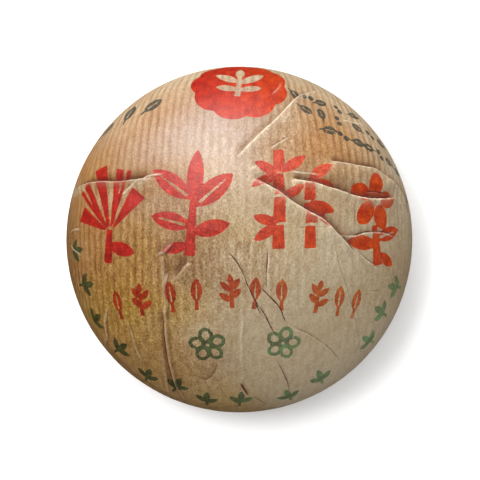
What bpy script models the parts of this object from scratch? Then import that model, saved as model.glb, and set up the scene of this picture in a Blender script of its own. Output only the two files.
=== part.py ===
"""A pu erh tuocha: a pressed bird's nest of tea, tightly wrapped in pleated kraft paper.

The wrapped cake is one closed solid. A turned profile gives the dome, the foot that it stands on
and the hollow underneath. The sides below the widest ring are gathered into pleats, which cross
the foot, swirl up into the hollow and end in a twisted knot. The folds that the paper was pulled
into over the dome are cut into the mesh and then raised or pressed in. Metres, +Z up.
"""

import math
import random

import bmesh
import bpy
import numpy as np
from mathutils import Vector

OBJECT_NAME = "wrapped_tuocha"
COLLECTION_NAME = "pu_erh_tuocha"

# The cake's main sizes.
RADIUS = 0.054
HEIGHT = 0.057
WIDEST_Z = 0.0135
DOME_POWER = 2.15

# The foot is a flat ring, and the hollow's mouth is inside it.
FOOT_OUTER_RADIUS = 0.0435
FOOT_INNER_RADIUS = 0.0325
MOUTH_RADIUS = 0.027
MOUTH_Z = 0.006
SKIRT_POWER = 2.2

# The hollow's ceiling runs into the knot of twisted paper, which hangs down from its middle.
CEILING_Z = 0.0235
KNOT_ROOT_RADIUS = 0.0095
KNOT_RADIUS = 0.0064
KNOT_TIP_Z = 0.0105
KNOT_TIP_ROUND = 0.0050
KNOT_LEAN = (0.0016, -0.0011)

# How many rows of faces each stretch of the profile has.
DOME_ROWS = 20
SKIRT_ROWS = 6
FOOT_ROWS = 3
LIP_ROWS = 3
HOLLOW_ROWS = 7
KNOT_ROWS = 3
TIP_ROWS = 3

# The gathered paper.
PLEATS = 24
STEPS_PER_PLEAT = 4
PLEAT_DEPTH = 0.0016
GROOVE_DEPTH = 0.0009
KNOT_PLEAT_DEPTH = 0.0010
PLEAT_UNEVENNESS = 0.28
PLEAT_SEED = 7
HOLLOW_TWIST = math.radians(38)
KNOT_TWIST = math.radians(75)

# The dome isn't quite even: low waves of the pressed leaf under the paper.
WAVE_HEIGHT = 0.00022
WAVES = ((95.0, 40.0, 0.3), (-60.0, 110.0, 1.9), (150.0, -70.0, 4.1))

# Folds fade out over this length at their ends, and over this width next to the widest ring.
FOLD_FADE = 0.006
RIM_FADE = 0.004
CUT_REACH = 0.0042
CUT_SNAP = 0.0003
SLIVER = 0.00008

# A fold's cross profile: (distance to the right of the line, height) in metres.
LAPPED = ((-0.0020, 0.0), (0.0, -0.0006), (0.0013, 0.0008), (0.0050, 0.0))
PINCHED = ((-0.0024, 0.0), (-0.0010, -0.0004), (0.0, 0.0010), (0.0011, -0.0004), (0.0026, 0.0))
RAISED = ((-0.0018, 0.0), (0.0, 0.0008), (0.0020, 0.0))
SCORED = ((-0.0016, 0.0), (0.0, -0.0005), (0.0016, 0.0))

# The folds over the dome, seen from above: cross profile, strength, and the line in metres.
FOLDS = {
    "brow": (LAPPED, 0.9, ((-0.052, 0.0150), (-0.046, 0.0180), (-0.031, 0.0192), (-0.0245, 0.0210))),
    "long_ridge": (LAPPED, 0.9, ((0.000, 0.0265), (0.0085, 0.0350), (0.0135, 0.0400), (0.020, 0.0460))),
    "deep": (LAPPED, 1.3, ((0.004, 0.0195), (0.0130, 0.0150), (0.0260, 0.0068), (0.037, -0.0042))),
    "middle": (LAPPED, 1.2, ((0.015, 0.0198), (0.0280, 0.0174), (0.0380, 0.0150), (0.051, 0.0132))),
    "upper": (LAPPED, 1.1, ((0.028, 0.0250), (0.0425, 0.0220), (0.0480, 0.0186), (0.052, 0.0120))),
    "side": (SCORED, 1.2, ((0.031, 0.0015), (0.0390, 0.0019), (0.0440, 0.0022), (0.051, 0.0010))),
    "pinch": (PINCHED, 1.1, ((-0.0245, -0.003), (-0.0235, -0.017), (-0.0228, -0.031), (-0.0165, -0.050))),
    "left": (RAISED, 0.8, ((-0.0400, -0.018), (-0.0416, -0.025), (-0.0410, -0.034))),
    "score": (SCORED, 1.0, ((-0.004, -0.003), (0.0020, -0.0120), (0.0056, -0.0202), (0.0120, -0.0310))),
    "branch": (SCORED, 0.8, ((0.006, -0.014), (0.0140, -0.0250), (0.0250, -0.0315), (0.0340, -0.0405))),
}

KRAFT_COLOUR = (0.55, 0.36, 0.20, 1.0)
KRAFT_ROUGHNESS = 0.62


def clear_scene():
    """Remove every object that the startup scene holds."""
    for obj in list(bpy.data.objects):
        bpy.data.objects.remove(obj)


def ease(value):
    """A smooth step from 0 to 1 as value goes from 0 to 1."""
    bounded = min(max(value, 0.0), 1.0)
    return bounded * bounded * (3.0 - 2.0 * bounded)


def even_spacing(points, rows):
    """Points at rows + 1 equal steps of length along a finely drawn line."""
    line = np.array(points)
    lengths = np.concatenate([[0.0], np.cumsum(np.hypot(*np.diff(line, axis=0).T))])
    places = np.linspace(0.0, lengths[-1], rows + 1)
    return [tuple(np.interp(place, lengths, line[:, axis]) for axis in (0, 1)) for place in places]


def arc(centre, half_width, half_height, start, end, power, rows):
    """An evenly spaced stretch of a superellipse, between two angles in degrees."""
    points = []
    for angle in np.radians(np.linspace(start, end, 181)):
        across = math.copysign(abs(math.cos(angle)) ** (2.0 / power), math.cos(angle))
        up = math.copysign(abs(math.sin(angle)) ** (2.0 / power), math.sin(angle))
        points.append((centre[0] + half_width * across, centre[1] + half_height * up))
    return even_spacing(points, rows)


def profile_stretches():
    """The stretches of the turned profile, from the top of the dome down and in to the knot."""
    skirt_width = RADIUS - FOOT_OUTER_RADIUS
    lip_width = FOOT_INNER_RADIUS - MOUTH_RADIUS
    hollow_height = CEILING_Z - MOUTH_Z
    hollow_width = MOUTH_RADIUS - KNOT_ROOT_RADIUS
    shoulder = (KNOT_RADIUS, KNOT_TIP_Z + KNOT_TIP_ROUND)
    return {
        "dome": arc((0.0, WIDEST_Z), RADIUS, HEIGHT - WIDEST_Z, 90, 0, DOME_POWER, DOME_ROWS),
        "skirt": arc((FOOT_OUTER_RADIUS, WIDEST_Z), skirt_width, WIDEST_Z, 0, -90, SKIRT_POWER, SKIRT_ROWS),
        "foot": even_spacing([(FOOT_OUTER_RADIUS, 0.0), (FOOT_INNER_RADIUS, 0.0)], FOOT_ROWS),
        "lip": arc((FOOT_INNER_RADIUS, MOUTH_Z), lip_width, MOUTH_Z, -90, -180, 2.0, LIP_ROWS),
        "hollow": arc((KNOT_ROOT_RADIUS, MOUTH_Z), hollow_width, hollow_height, 0, 90, 2.0, HOLLOW_ROWS),
        "knot": even_spacing([(KNOT_ROOT_RADIUS, CEILING_Z), shoulder], KNOT_ROWS),
        "tip": arc((0.0, shoulder[1]), KNOT_RADIUS, KNOT_TIP_ROUND, 0, -90, 2.0, TIP_ROWS),
    }


def turned_profile():
    """The profile's points, and each point's place: its stretch and how far along it lies."""
    points = []
    places = []
    for name, stretch in profile_stretches().items():
        first = 0 if not points else 1
        for row in range(first, len(stretch)):
            points.append(stretch[row])
            places.append((name, row / (len(stretch) - 1)))
    return points, places


def outward_normals(points):
    """The profile's outward normal at each point, in the plane of the profile."""
    line = np.array(points)
    along = np.gradient(line, axis=0)
    along /= np.linalg.norm(along, axis=1)[:, None]
    return np.stack([-along[:, 1], along[:, 0]], axis=1)


def turn(points):
    """Turn the profile round the Z axis with a Screw modifier, and give the welded mesh."""
    outline = bpy.data.meshes.new("profile")
    edges = [(index, index + 1) for index in range(len(points) - 1)]
    outline.from_pydata([(across, 0.0, up) for across, up in points], edges, [])
    rows = outline.attributes.new("row", "INT", "POINT")
    rows.data.foreach_set("value", list(range(len(points))))
    guide = bpy.data.objects.new("profile", outline)
    bpy.context.scene.collection.objects.link(guide)
    screw = guide.modifiers.new("turn", "SCREW")
    screw.steps = PLEATS * STEPS_PER_PLEAT
    screw.render_steps = screw.steps
    screw.use_merge_vertices = True
    screw.merge_threshold = 0.00001
    graph = bpy.context.evaluated_depsgraph_get()
    turned = bpy.data.meshes.new_from_object(guide.evaluated_get(graph))
    bpy.data.objects.remove(guide)
    bpy.data.meshes.remove(outline)
    return turned


def pleat_bounds():
    """The angle at which each pleat starts: uneven widths that add up to one full turn."""
    draw = random.Random(PLEAT_SEED)
    widths = np.array([1.0 + PLEAT_UNEVENNESS * draw.uniform(-1.0, 1.0) for _ in range(PLEATS)])
    return np.concatenate([[0.0], np.cumsum(widths)]) * 2.0 * math.pi / widths.sum()


def pleat_strength(place):
    """How deep the pleats are at a place on the profile, from 0 to 1, and how flat they lie."""
    stretch, along = place
    if stretch == "dome":
        return 0.0, 0.0
    if stretch == "skirt":
        return ease(along * 1.9), ease((along - 0.55) / 0.45)
    if stretch == "foot":
        return 1.0, 1.0
    if stretch == "lip":
        return 1.0, 1.0 - ease(along)
    return 1.0, 0.0


def pleat_depth(step, place, depth_of_pleat):
    """How far a point lies below the pleats' crests."""
    strength, flatness = pleat_strength(place)
    phase = (step % STEPS_PER_PLEAT) / STEPS_PER_PLEAT
    lapped = (1.0 - phase / 0.75) * PLEAT_DEPTH
    pressed = GROOVE_DEPTH if phase == 0.0 else 0.0
    if place[0] in ("knot", "tip"):
        lapped *= KNOT_PLEAT_DEPTH / PLEAT_DEPTH
    if place[0] == "tip":
        strength *= 1.0 - ease(place[1])
    return strength * depth_of_pleat * (lapped + (pressed - lapped) * flatness)


def knot_lean(up):
    """How far the knot leans sideways at a height."""
    lean = ease((CEILING_Z - up) / (CEILING_Z - KNOT_TIP_Z))
    return KNOT_LEAN[0] * lean, KNOT_LEAN[1] * lean


def swirl(place):
    """The angle by which the gathered paper has turned, at a place on the profile."""
    stretch, along = place
    if stretch == "hollow":
        return HOLLOW_TWIST * ease(along)
    if stretch == "knot":
        return HOLLOW_TWIST + KNOT_TWIST * along
    if stretch == "tip":
        return HOLLOW_TWIST + KNOT_TWIST
    return 0.0


def gather(shape, points, places):
    """Press the pleats into the paper below the widest ring, and swirl them into the knot."""
    row_layer = shape.verts.layers.int["row"]
    normals = outward_normals(points)
    bounds = pleat_bounds()
    draw = random.Random(PLEAT_SEED + 1)
    depths = [1.0 + PLEAT_UNEVENNESS * draw.uniform(-1.0, 1.0) for _ in range(PLEATS)]
    steps = PLEATS * STEPS_PER_PLEAT
    for vertex in shape.verts:
        row = vertex[row_layer]
        place = places[row]
        across = math.hypot(vertex.co.x, vertex.co.y)
        if place[0] == "dome":
            continue
        angle = math.atan2(vertex.co.y, vertex.co.x) % (2.0 * math.pi)
        step = round(angle / (2.0 * math.pi) * steps) % steps
        pleat, inside = divmod(step, STEPS_PER_PLEAT)
        uneven = bounds[pleat] + (bounds[pleat + 1] - bounds[pleat]) * inside / STEPS_PER_PLEAT
        even = 2.0 * math.pi * step / steps
        loosened = ease(place[1] * 1.5) if place[0] == "skirt" else 1.0
        angle = even + (uneven - even) * loosened + swirl(place)
        depth = pleat_depth(step, place, depths[pleat])
        across -= normals[row][0] * depth
        up = vertex.co.z - normals[row][1] * depth
        lean = knot_lean(up) if place[0] in ("knot", "tip") else (0.0, 0.0)
        vertex.co = (across * math.cos(angle) + lean[0], across * math.sin(angle) + lean[1], up)


def fold_chords(line):
    """The straight stretches of a fold: start, direction, right-hand side and length, seen from above."""
    chords = []
    for start, end in zip(line[:-1], line[1:]):
        step = Vector(end) - Vector(start)
        along = step.normalized()
        chords.append((Vector(start), along, Vector((along.y, -along.x)), step.length))
    return chords


def on_dome(face):
    """Whether a face belongs to the dome above the widest ring."""
    return face.normal.z > 0.0 and face.calc_center_median().z > WIDEST_Z


def cut_fold(shape, profile, line):
    """Cut the mesh along a fold: one cut for each corner of its cross profile."""
    for start, along, right, length in fold_chords(line):
        for offset, _ in profile:
            faces = []
            for face in shape.faces:
                place = face.calc_center_median().xy - start
                near_line = abs(place.dot(right) - offset) < CUT_REACH
                beside_chord = -CUT_REACH / 2 < place.dot(along) < length + CUT_REACH / 2
                if near_line and beside_chord and on_dome(face):
                    faces.append(face)
            parts = set(faces)
            for face in faces:
                parts.update(face.edges)
                parts.update(face.verts)
            foot = start + right * offset
            bmesh.ops.bisect_plane(
                shape,
                geom=list(parts),
                dist=CUT_SNAP,
                plane_co=(foot.x, foot.y, 0.0),
                plane_no=(right.x, right.y, 0.0),
            )


def fold_height(place, profile, line):
    """The height that one fold adds to the paper at a point seen from above."""
    chords = fold_chords(line)
    total = sum(chord[3] for chord in chords)
    nearest = None
    run = 0.0
    for start, along, right, length in chords:
        offset = place - start
        travelled = min(max(offset.dot(along), 0.0), length)
        gap = (offset - along * travelled).length
        if nearest is None or gap < nearest[0]:
            nearest = (gap, offset.dot(right), run + travelled)
        run += length
    gap, side, travelled = nearest
    signed = math.copysign(gap, side)
    fade = ease(travelled / FOLD_FADE) * ease((total - travelled) / FOLD_FADE)
    distances, heights = zip(*profile)
    return fade * float(np.interp(signed, distances, heights, left=0.0, right=0.0))


def dome_height(place):
    """The height of folds and waves over the even dome, at a point seen from above."""
    rim = ease((RADIUS - place.length) / RIM_FADE)
    height = WAVE_HEIGHT * sum(math.sin(a * place.x + b * place.y + c) for a, b, c in WAVES)
    for profile, strength, line in FOLDS.values():
        height += strength * fold_height(place, profile, line)
    return rim * height


def crease(shape):
    """Cut the folds into the dome, then raise or press in each of its points."""
    for profile, _, line in FOLDS.values():
        cut_fold(shape, profile, line)
    shape.normal_update()
    moves = {}
    for vertex in shape.verts:
        if vertex.co.z > WIDEST_Z:
            moves[vertex] = vertex.normal * dome_height(vertex.co.xy)
    for vertex, move in moves.items():
        vertex.co += move


def kraft_material():
    """Brown kraft paper with a slight sheen."""
    material = bpy.data.materials.new("kraft_paper")
    material.use_nodes = True
    shader = material.node_tree.nodes["Principled BSDF"]
    shader.inputs["Base Color"].default_value = KRAFT_COLOUR
    shader.inputs["Roughness"].default_value = KRAFT_ROUGHNESS
    shader.inputs["Metallic"].default_value = 0.0
    return material


def build_tuocha():
    """Make the wrapped cake in its collection."""
    points, places = turned_profile()
    mesh = turn(points)
    shape = bmesh.new()
    shape.from_mesh(mesh)
    gather(shape, points, places)
    crease(shape)
    bmesh.ops.dissolve_degenerate(shape, dist=SLIVER, edges=shape.edges[:])
    bmesh.ops.triangulate(shape, faces=shape.faces[:])
    shape.to_mesh(mesh)
    shape.free()
    mesh.name = OBJECT_NAME
    mesh.shade_smooth()
    mesh.set_sharp_from_angle(angle=math.radians(34))
    mesh.materials.append(kraft_material())
    collection = bpy.data.collections.new(COLLECTION_NAME)
    bpy.context.scene.collection.children.link(collection)
    collection.objects.link(bpy.data.objects.new(OBJECT_NAME, mesh))


clear_scene()
build_tuocha()
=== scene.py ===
"""Dresses a pu erh tuocha: pressed tea wrapped in ribbed, creased and printed kraft paper.

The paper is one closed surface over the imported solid. Its profile is turned, its creases are laid
over the dome as they were seen from above, and below the widest ring it is gathered into pleats
that swirl into a twisted knot. The print is generic leaf and twig ornament.
"""

import logging
import math
import random
from dataclasses import dataclass, field
from enum import Enum

import bpy
import numpy as np
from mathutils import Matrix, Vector, noise


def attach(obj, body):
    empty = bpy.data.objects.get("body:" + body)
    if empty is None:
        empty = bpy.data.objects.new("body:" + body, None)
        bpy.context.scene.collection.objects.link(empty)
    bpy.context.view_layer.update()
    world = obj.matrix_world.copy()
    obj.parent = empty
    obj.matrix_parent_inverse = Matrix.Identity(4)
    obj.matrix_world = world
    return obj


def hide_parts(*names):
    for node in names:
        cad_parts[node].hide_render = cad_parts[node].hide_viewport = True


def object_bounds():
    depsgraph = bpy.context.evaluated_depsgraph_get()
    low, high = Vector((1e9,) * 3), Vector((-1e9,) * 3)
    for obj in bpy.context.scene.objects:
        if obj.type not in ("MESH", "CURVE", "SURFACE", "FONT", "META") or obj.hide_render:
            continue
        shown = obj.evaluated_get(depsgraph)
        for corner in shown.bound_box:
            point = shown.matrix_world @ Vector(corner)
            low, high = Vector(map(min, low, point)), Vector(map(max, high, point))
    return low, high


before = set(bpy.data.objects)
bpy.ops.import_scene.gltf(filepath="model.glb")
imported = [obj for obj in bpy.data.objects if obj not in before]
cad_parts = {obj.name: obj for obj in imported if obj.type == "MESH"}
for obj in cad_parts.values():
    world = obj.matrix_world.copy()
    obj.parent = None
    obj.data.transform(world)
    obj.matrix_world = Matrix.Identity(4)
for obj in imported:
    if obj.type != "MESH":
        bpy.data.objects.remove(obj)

log = logging.getLogger("tuocha")

MM = 0.001
NODE = "wrapped_tuocha"
CAD_LOW, CAD_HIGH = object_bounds()
RADIUS = (CAD_HIGH.x - CAD_LOW.x) / 2
HEIGHT = 0.057  # the top of the smooth dome, which the highest fold stands over
PAPER_SPAN = 0.36  # the width of the square that the UV map spans, in metres
FAR_FROM_INK = 3.0  # what a point away from an ink's edge keeps, in millimetres

Array = np.ndarray
Pair = tuple[float, float]
Triple = tuple[float, float, float]
Colour = Triple


def ease(value: Array | float) -> Array:
    """A smooth step from 0 to 1 as value goes from 0 to 1.

    Args:
        value: One number or an array of them.

    Returns:
        The eased values, from 0 to 1.
    """
    bounded = np.clip(value, 0.0, 1.0)
    return bounded * bounded * (3.0 - 2.0 * bounded)


def bell(distance: Array, width: float) -> Array:
    """How near each distance is to 0: 1 at 0, and hardly anything past twice the width."""
    return np.exp(-((distance / width) ** 2))


def along_length(points: Array) -> Array:
    """The distance travelled at each point of a line.

    Args:
        points: The line's points, one to a row.

    Returns:
        A distance for each point, starting at 0.
    """
    steps = np.linalg.norm(np.diff(points, axis=0), axis=1)
    return np.concatenate([[0.0], np.cumsum(steps)])


def directions(line: Array) -> Array:
    """The direction of a line at each of its points, as rows of length 1."""
    made = np.gradient(line, axis=0)
    return made / np.linalg.norm(made, axis=1)[:, None]


def local_to(points: Array, centre: Pair, turn: float) -> Array:
    """Where points lie to a centre that is turned.

    Args:
        points: The points, one to a row.
        centre: The centre.
        turn: How far it is turned, in degrees anticlockwise.

    Returns:
        The points' places along the centre's own two axes.
    """
    angle = math.radians(turn)
    spin = np.array([[math.cos(angle), -math.sin(angle)], [math.sin(angle), math.cos(angle)]])
    return (points - np.array(centre)) @ spin


def read(items: bpy.types.bpy_prop_collection, name: str, width: int, kind: type) -> Array:
    """Read a setting of all of a mesh's points, edges or corners.

    Args:
        items: The points, edges or corners.
        name: The setting.
        width: How many values each of them has.
        kind: The type of the values.

    Returns:
        The values, one row to each where the width is over 1.
    """
    values = np.empty(len(items) * width, kind)
    items.foreach_get(name, values)
    return values.reshape(-1, width) if width > 1 else values


def smooth_line(corners: tuple[Pair, ...], spacing: float) -> Array:
    """A smooth curve through a few points, as closely and evenly spaced points.

    Args:
        corners: The points that the curve passes through.
        spacing: The step between the points that come out.

    Returns:
        The curve's points, one to a row.
    """
    samples = 24
    knots = np.array(corners, float)
    if len(knots) == 2:
        count = max(2, int(np.linalg.norm(knots[1] - knots[0]) / spacing))
        return knots[0] + np.linspace(0, 1, count)[:, None] * (knots[1] - knots[0])
    padded = np.vstack([2 * knots[0] - knots[1], knots, 2 * knots[-1] - knots[-2]])
    pieces = []
    for first, second, third, fourth in zip(padded, padded[1:], padded[2:], padded[3:]):
        share = np.linspace(0, 1, samples, endpoint=False)[:, None]
        pieces.append(
            0.5 * (2 * second + (third - first) * share
                   + (2 * first - 5 * second + 4 * third - fourth) * share**2
                   + (3 * second - first - 3 * third + fourth) * share**3)
        )
    drawn = np.vstack([*pieces, knots[-1:]])
    travelled = along_length(drawn)
    places = np.linspace(0, travelled[-1], max(3, int(travelled[-1] / spacing)))
    return np.stack([np.interp(places, travelled, drawn[:, axis]) for axis in (0, 1)], axis=1)


class Stretch(Enum):
    """The stretches of the wrapper's profile, from the top of the dome to the knot's tip."""

    DOME = 0
    SKIRT = 1
    FOOT = 2
    LIP = 3
    HOLLOW = 4
    KNOT = 5
    TIP = 6


@dataclass
class WrapperProfile:
    """The turned profile of the wrapped cake, drawn from its main sizes in metres."""

    radius: float = RADIUS
    height: float = HEIGHT
    widest_z: float = 0.0135
    dome_power: float = 2.15
    skirt_power: float = 2.2
    foot_outer: float = 0.0435
    foot_inner: float = 0.0325
    mouth_radius: float = 0.027
    mouth_z: float = 0.006
    ceiling_z: float = 0.0235
    knot_root: float = 0.0095
    knot_radius: float = 0.0064
    knot_tip_z: float = 0.0105
    knot_tip_round: float = 0.0050
    row_steps: tuple[float, ...] = (0.00125, 0.0010, 0.0018, 0.0014, 0.0014, 0.0011, 0.0011)

    def __post_init__(self) -> None:
        """Draw the line once, with the place where each stretch starts."""
        drawn = self._stretches()
        line = np.vstack([drawn[0], *[piece[1:] for piece in drawn[1:]]])
        self.line = line
        self.length = along_length(line)
        ends = np.cumsum([len(piece) - 1 for piece in drawn])
        self.bounds = np.concatenate([[0.0], self.length[ends]])
        direction = directions(line)
        self.normal = np.stack([-direction[:, 1], direction[:, 0]], axis=1)

    @staticmethod
    def _arc(centre: Pair, half: Pair, start: float, end: float, power: float) -> Array:
        """Points along a superellipse between two angles.

        Args:
            centre: The curve's centre, across and up.
            half: Its half width and half height.
            start: The first angle in degrees.
            end: The last angle in degrees.
            power: 2 for an ellipse, and more for a squarer curve.

        Returns:
            The points, one to a row.
        """
        angle = np.radians(np.linspace(start, end, 361))
        across = np.sign(np.cos(angle)) * np.abs(np.cos(angle)) ** (2 / power)
        up = np.sign(np.sin(angle)) * np.abs(np.sin(angle)) ** (2 / power)
        return np.stack([centre[0] + half[0] * across, centre[1] + half[1] * up], axis=1)

    def _stretches(self) -> list[Array]:
        """Draw each stretch finely.

        Returns:
            The points of each stretch, in the order of the Stretch names.
        """
        shoulder_z = self.knot_tip_z + self.knot_tip_round
        lip = self.foot_inner - self.mouth_radius
        dome_half = (self.radius, self.height - self.widest_z)
        skirt_half = (self.radius - self.foot_outer, self.widest_z)
        hollow_half = (self.mouth_radius - self.knot_root, self.ceiling_z - self.mouth_z)
        return [
            self._arc((0, self.widest_z), dome_half, 90, 0, self.dome_power),
            self._arc((self.foot_outer, self.widest_z), skirt_half, 0, -90, self.skirt_power),
            np.array([(self.foot_outer, 0.0), (self.foot_inner, 0.0)]),
            self._arc((self.foot_inner, self.mouth_z), (lip, self.mouth_z), -90, -180, 2),
            self._arc((self.knot_root, self.mouth_z), hollow_half, 0, 90, 2),
            np.array([(self.knot_root, self.ceiling_z), (self.knot_radius, shoulder_z)]),
            self._arc((0, shoulder_z), (self.knot_radius, self.knot_tip_round), 0, -90, 2),
        ]

    def stations(self) -> Array:
        """Choose the rows of the mesh.

        Returns:
            How far along the profile each row lies.
        """
        rows = [0.0]
        for start, end, step in zip(self.bounds, self.bounds[1:], self.row_steps):
            count = max(2, round((end - start) / step))
            rows.extend(np.linspace(start, end, count + 1)[1:])
        return np.array(rows)

    def at(self, along: Array) -> tuple[Array, Array]:
        """The profile's points and outward normals at distances along it.

        Args:
            along: Distances from the top of the dome.

        Returns:
            Points and normals, each with one row of (across, up) for each distance.
        """
        point = [np.interp(along, self.length, self.line[:, axis]) for axis in (0, 1)]
        normal = [np.interp(along, self.length, self.normal[:, axis]) for axis in (0, 1)]
        return np.stack(point, axis=1), np.stack(normal, axis=1)

    def start_of(self, stretch: Stretch) -> float:
        """How far along the profile a stretch starts."""
        return self.bounds[stretch.value]

    def place_in(self, along: Array, stretch: Stretch) -> Array:
        """How far through one stretch each distance lies, from 0 before it to 1 past it."""
        start, end = self.bounds[stretch.value:stretch.value + 2]
        return np.clip((along - start) / (end - start), 0.0, 1.0)

    def along_at_radius(self, across: Array) -> Array:
        """How far along the dome a point lies that is so far from the axis."""
        dome = self.length <= self.start_of(Stretch.SKIRT)
        return np.interp(across, self.line[dome, 0], self.length[dome])


def slant_at(seen: Array) -> Array:
    """How much longer the dome's paper is towards the rim than it shows from above.

    Args:
        seen: Places in the picture, one to a row.

    Returns:
        1 at the top of the dome, and more where the paper falls away.
    """
    nearest, furthest = 0.001, 0.985
    share = np.clip(np.hypot(seen[:, 0], seen[:, 1]) * MM / RADIUS, nearest, furthest)
    power = WrapperProfile.dome_power
    rise = (WrapperProfile.height - WrapperProfile.widest_z) / WrapperProfile.radius
    up = (1 - share**power) ** (1 / power)
    return np.hypot(1.0, rise * (share / up) ** (power - 1))


@dataclass(frozen=True)
class ViewPlane:
    """Turns points on the dome into the picture seen from above, in millimetres, and back."""

    camera_height: float = 2.0
    profile: WrapperProfile = field(default_factory=WrapperProfile)

    def scale_at(self, up: Array) -> Array:
        """How much larger a thing at a height shows than at the widest ring."""
        reach = self.camera_height - WrapperProfile.widest_z
        return reach / (self.camera_height - up)

    def seen(self, places: Array) -> Array:
        """Where points of the surface show in the picture.

        Args:
            places: Points in metres, one (x, y, z) to a row.

        Returns:
            Places in the picture, in millimetres at the widest ring.
        """
        return places[:, :2] * self.scale_at(places[:, 2])[:, None] / MM

    def on_paper(self, seen: Pair) -> Pair:
        """Where a place of the picture lies on the paper laid flat, in millimetres.

        Args:
            seen: A place in the picture.

        Returns:
            The place on the flat paper, with the top of the dome at (0, 0).
        """
        rounds = 6
        distance = math.hypot(*seen) * MM
        across = distance
        for _ in range(rounds):
            inside = np.array([min(across, self.profile.radius)])
            up = self.profile.at(self.profile.along_at_radius(inside))[0][:, 1]
            across = distance / self.scale_at(up)[0]
        along = float(self.profile.along_at_radius(np.array([across]))[0]) / MM
        length = max(math.hypot(*seen), 1e-9)
        return seen[0] / length * along, seen[1] / length * along


class CreaseKind(Enum):
    """Cross profiles of a crease: (distance to its right, height) pairs in millimetres."""

    LAPPED = (
        (-4.0, 0.0), (-1.6, -0.3), (-0.35, -1.0), (0.0, -0.8), (0.5, 0.85), (1.1, 1.0),
        (3.2, 0.45), (7.0, 0.0),
    )
    RIDGE = ((-2.2, 0.0), (-0.8, -0.15), (0.0, 1.0), (0.8, -0.15), (2.4, 0.0))
    PINCHED = ((-3.0, 0.0), (-1.0, -0.7), (-0.45, 0.85), (0.3, 1.0), (0.85, -0.75), (3.2, 0.0))
    SCORED = ((-1.1, 0.0), (-0.3, -0.5), (0.0, -1.0), (0.35, 0.1), (0.7, 0.35), (1.8, 0.0))
    SWELL = (
        (-5.0, 0.0), (-3.4, 0.25), (-1.7, 0.8), (0.0, 1.0), (1.7, 0.8), (3.4, 0.25), (5.0, 0.0),
    )
    TIDE = ((-4.5, 0.0), (4.5, 0.0))

    def heights(self, side: Array) -> Array:
        """The profile's height at distances to the right of the line, with its corners rounded.

        Args:
            side: Distances to the right of the line.

        Returns:
            Heights as shares of the crease's height.
        """
        step, margin = 0.04, 1.0
        distances, heights = zip(*self.value)
        fine = np.arange(distances[0] - margin, distances[-1] + margin, step)
        kernel = np.exp(-np.linspace(-2.2, 2.2, 13) ** 2)
        rounded = np.convolve(np.interp(fine, distances, heights), kernel / kernel.sum(), "same")
        return np.interp(side, fine, rounded)


@dataclass(frozen=True)
class CreaseMarks:
    """Where a kind of crease is darkened and paled, in millimetres to the right of its line.

    Its valleys are darkened by soiling and painted shade. shade is the width of the brown
    band of painted shade that runs out from the first valley, away from the edge, and rubbed
    that of the wide pale band past the edge. The edge and that band are rubbed paper and
    painted highlight. The other bands are strengths and widths.
    """

    valleys: tuple[float, ...]
    edge: float
    shade: float = 0.0
    rubbed: float = 1.1
    dirt_and_shade_bands: tuple[Pair, ...] = ((0.30, 0.28), (0.25, 0.9))
    shade_strength: float = 0.85
    rub_and_highlight_band: Pair = (0.40, 0.40)
    rubbed_and_lit_strength: float = 0.30
    rubbed_and_lit_offset: float = 0.4

    def dirt_and_shade(self, side: Array) -> Array:
        """How much soiling and painted shade darken the paper beside the line.

        Args:
            side: Distances to the right of the line.

        Returns:
            Strengths from 0, in soft bands.
        """
        made = np.zeros(len(side))
        for valley in self.valleys:
            for strength, width in self.dirt_and_shade_bands:
                made += strength * bell(side - valley, width)
        if self.shade:
            away = (self.valleys[0] - side) / self.shade
            made += np.where(away > 0, self.shade_strength * np.exp(-away), 0.0)
        return made

    def rub_and_highlight(self, side: Array) -> Array:
        """How pale the paper is beside the line, with rubbed paper and painted highlight.

        Args:
            side: Distances to the right of the line.

        Returns:
            Strengths from 0, in soft bands.
        """
        strength, width = self.rub_and_highlight_band
        past = side - self.edge
        wide = bell(past - self.rubbed_and_lit_offset * self.rubbed, self.rubbed)
        return strength * bell(past, width) + self.rubbed_and_lit_strength * wide


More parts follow.
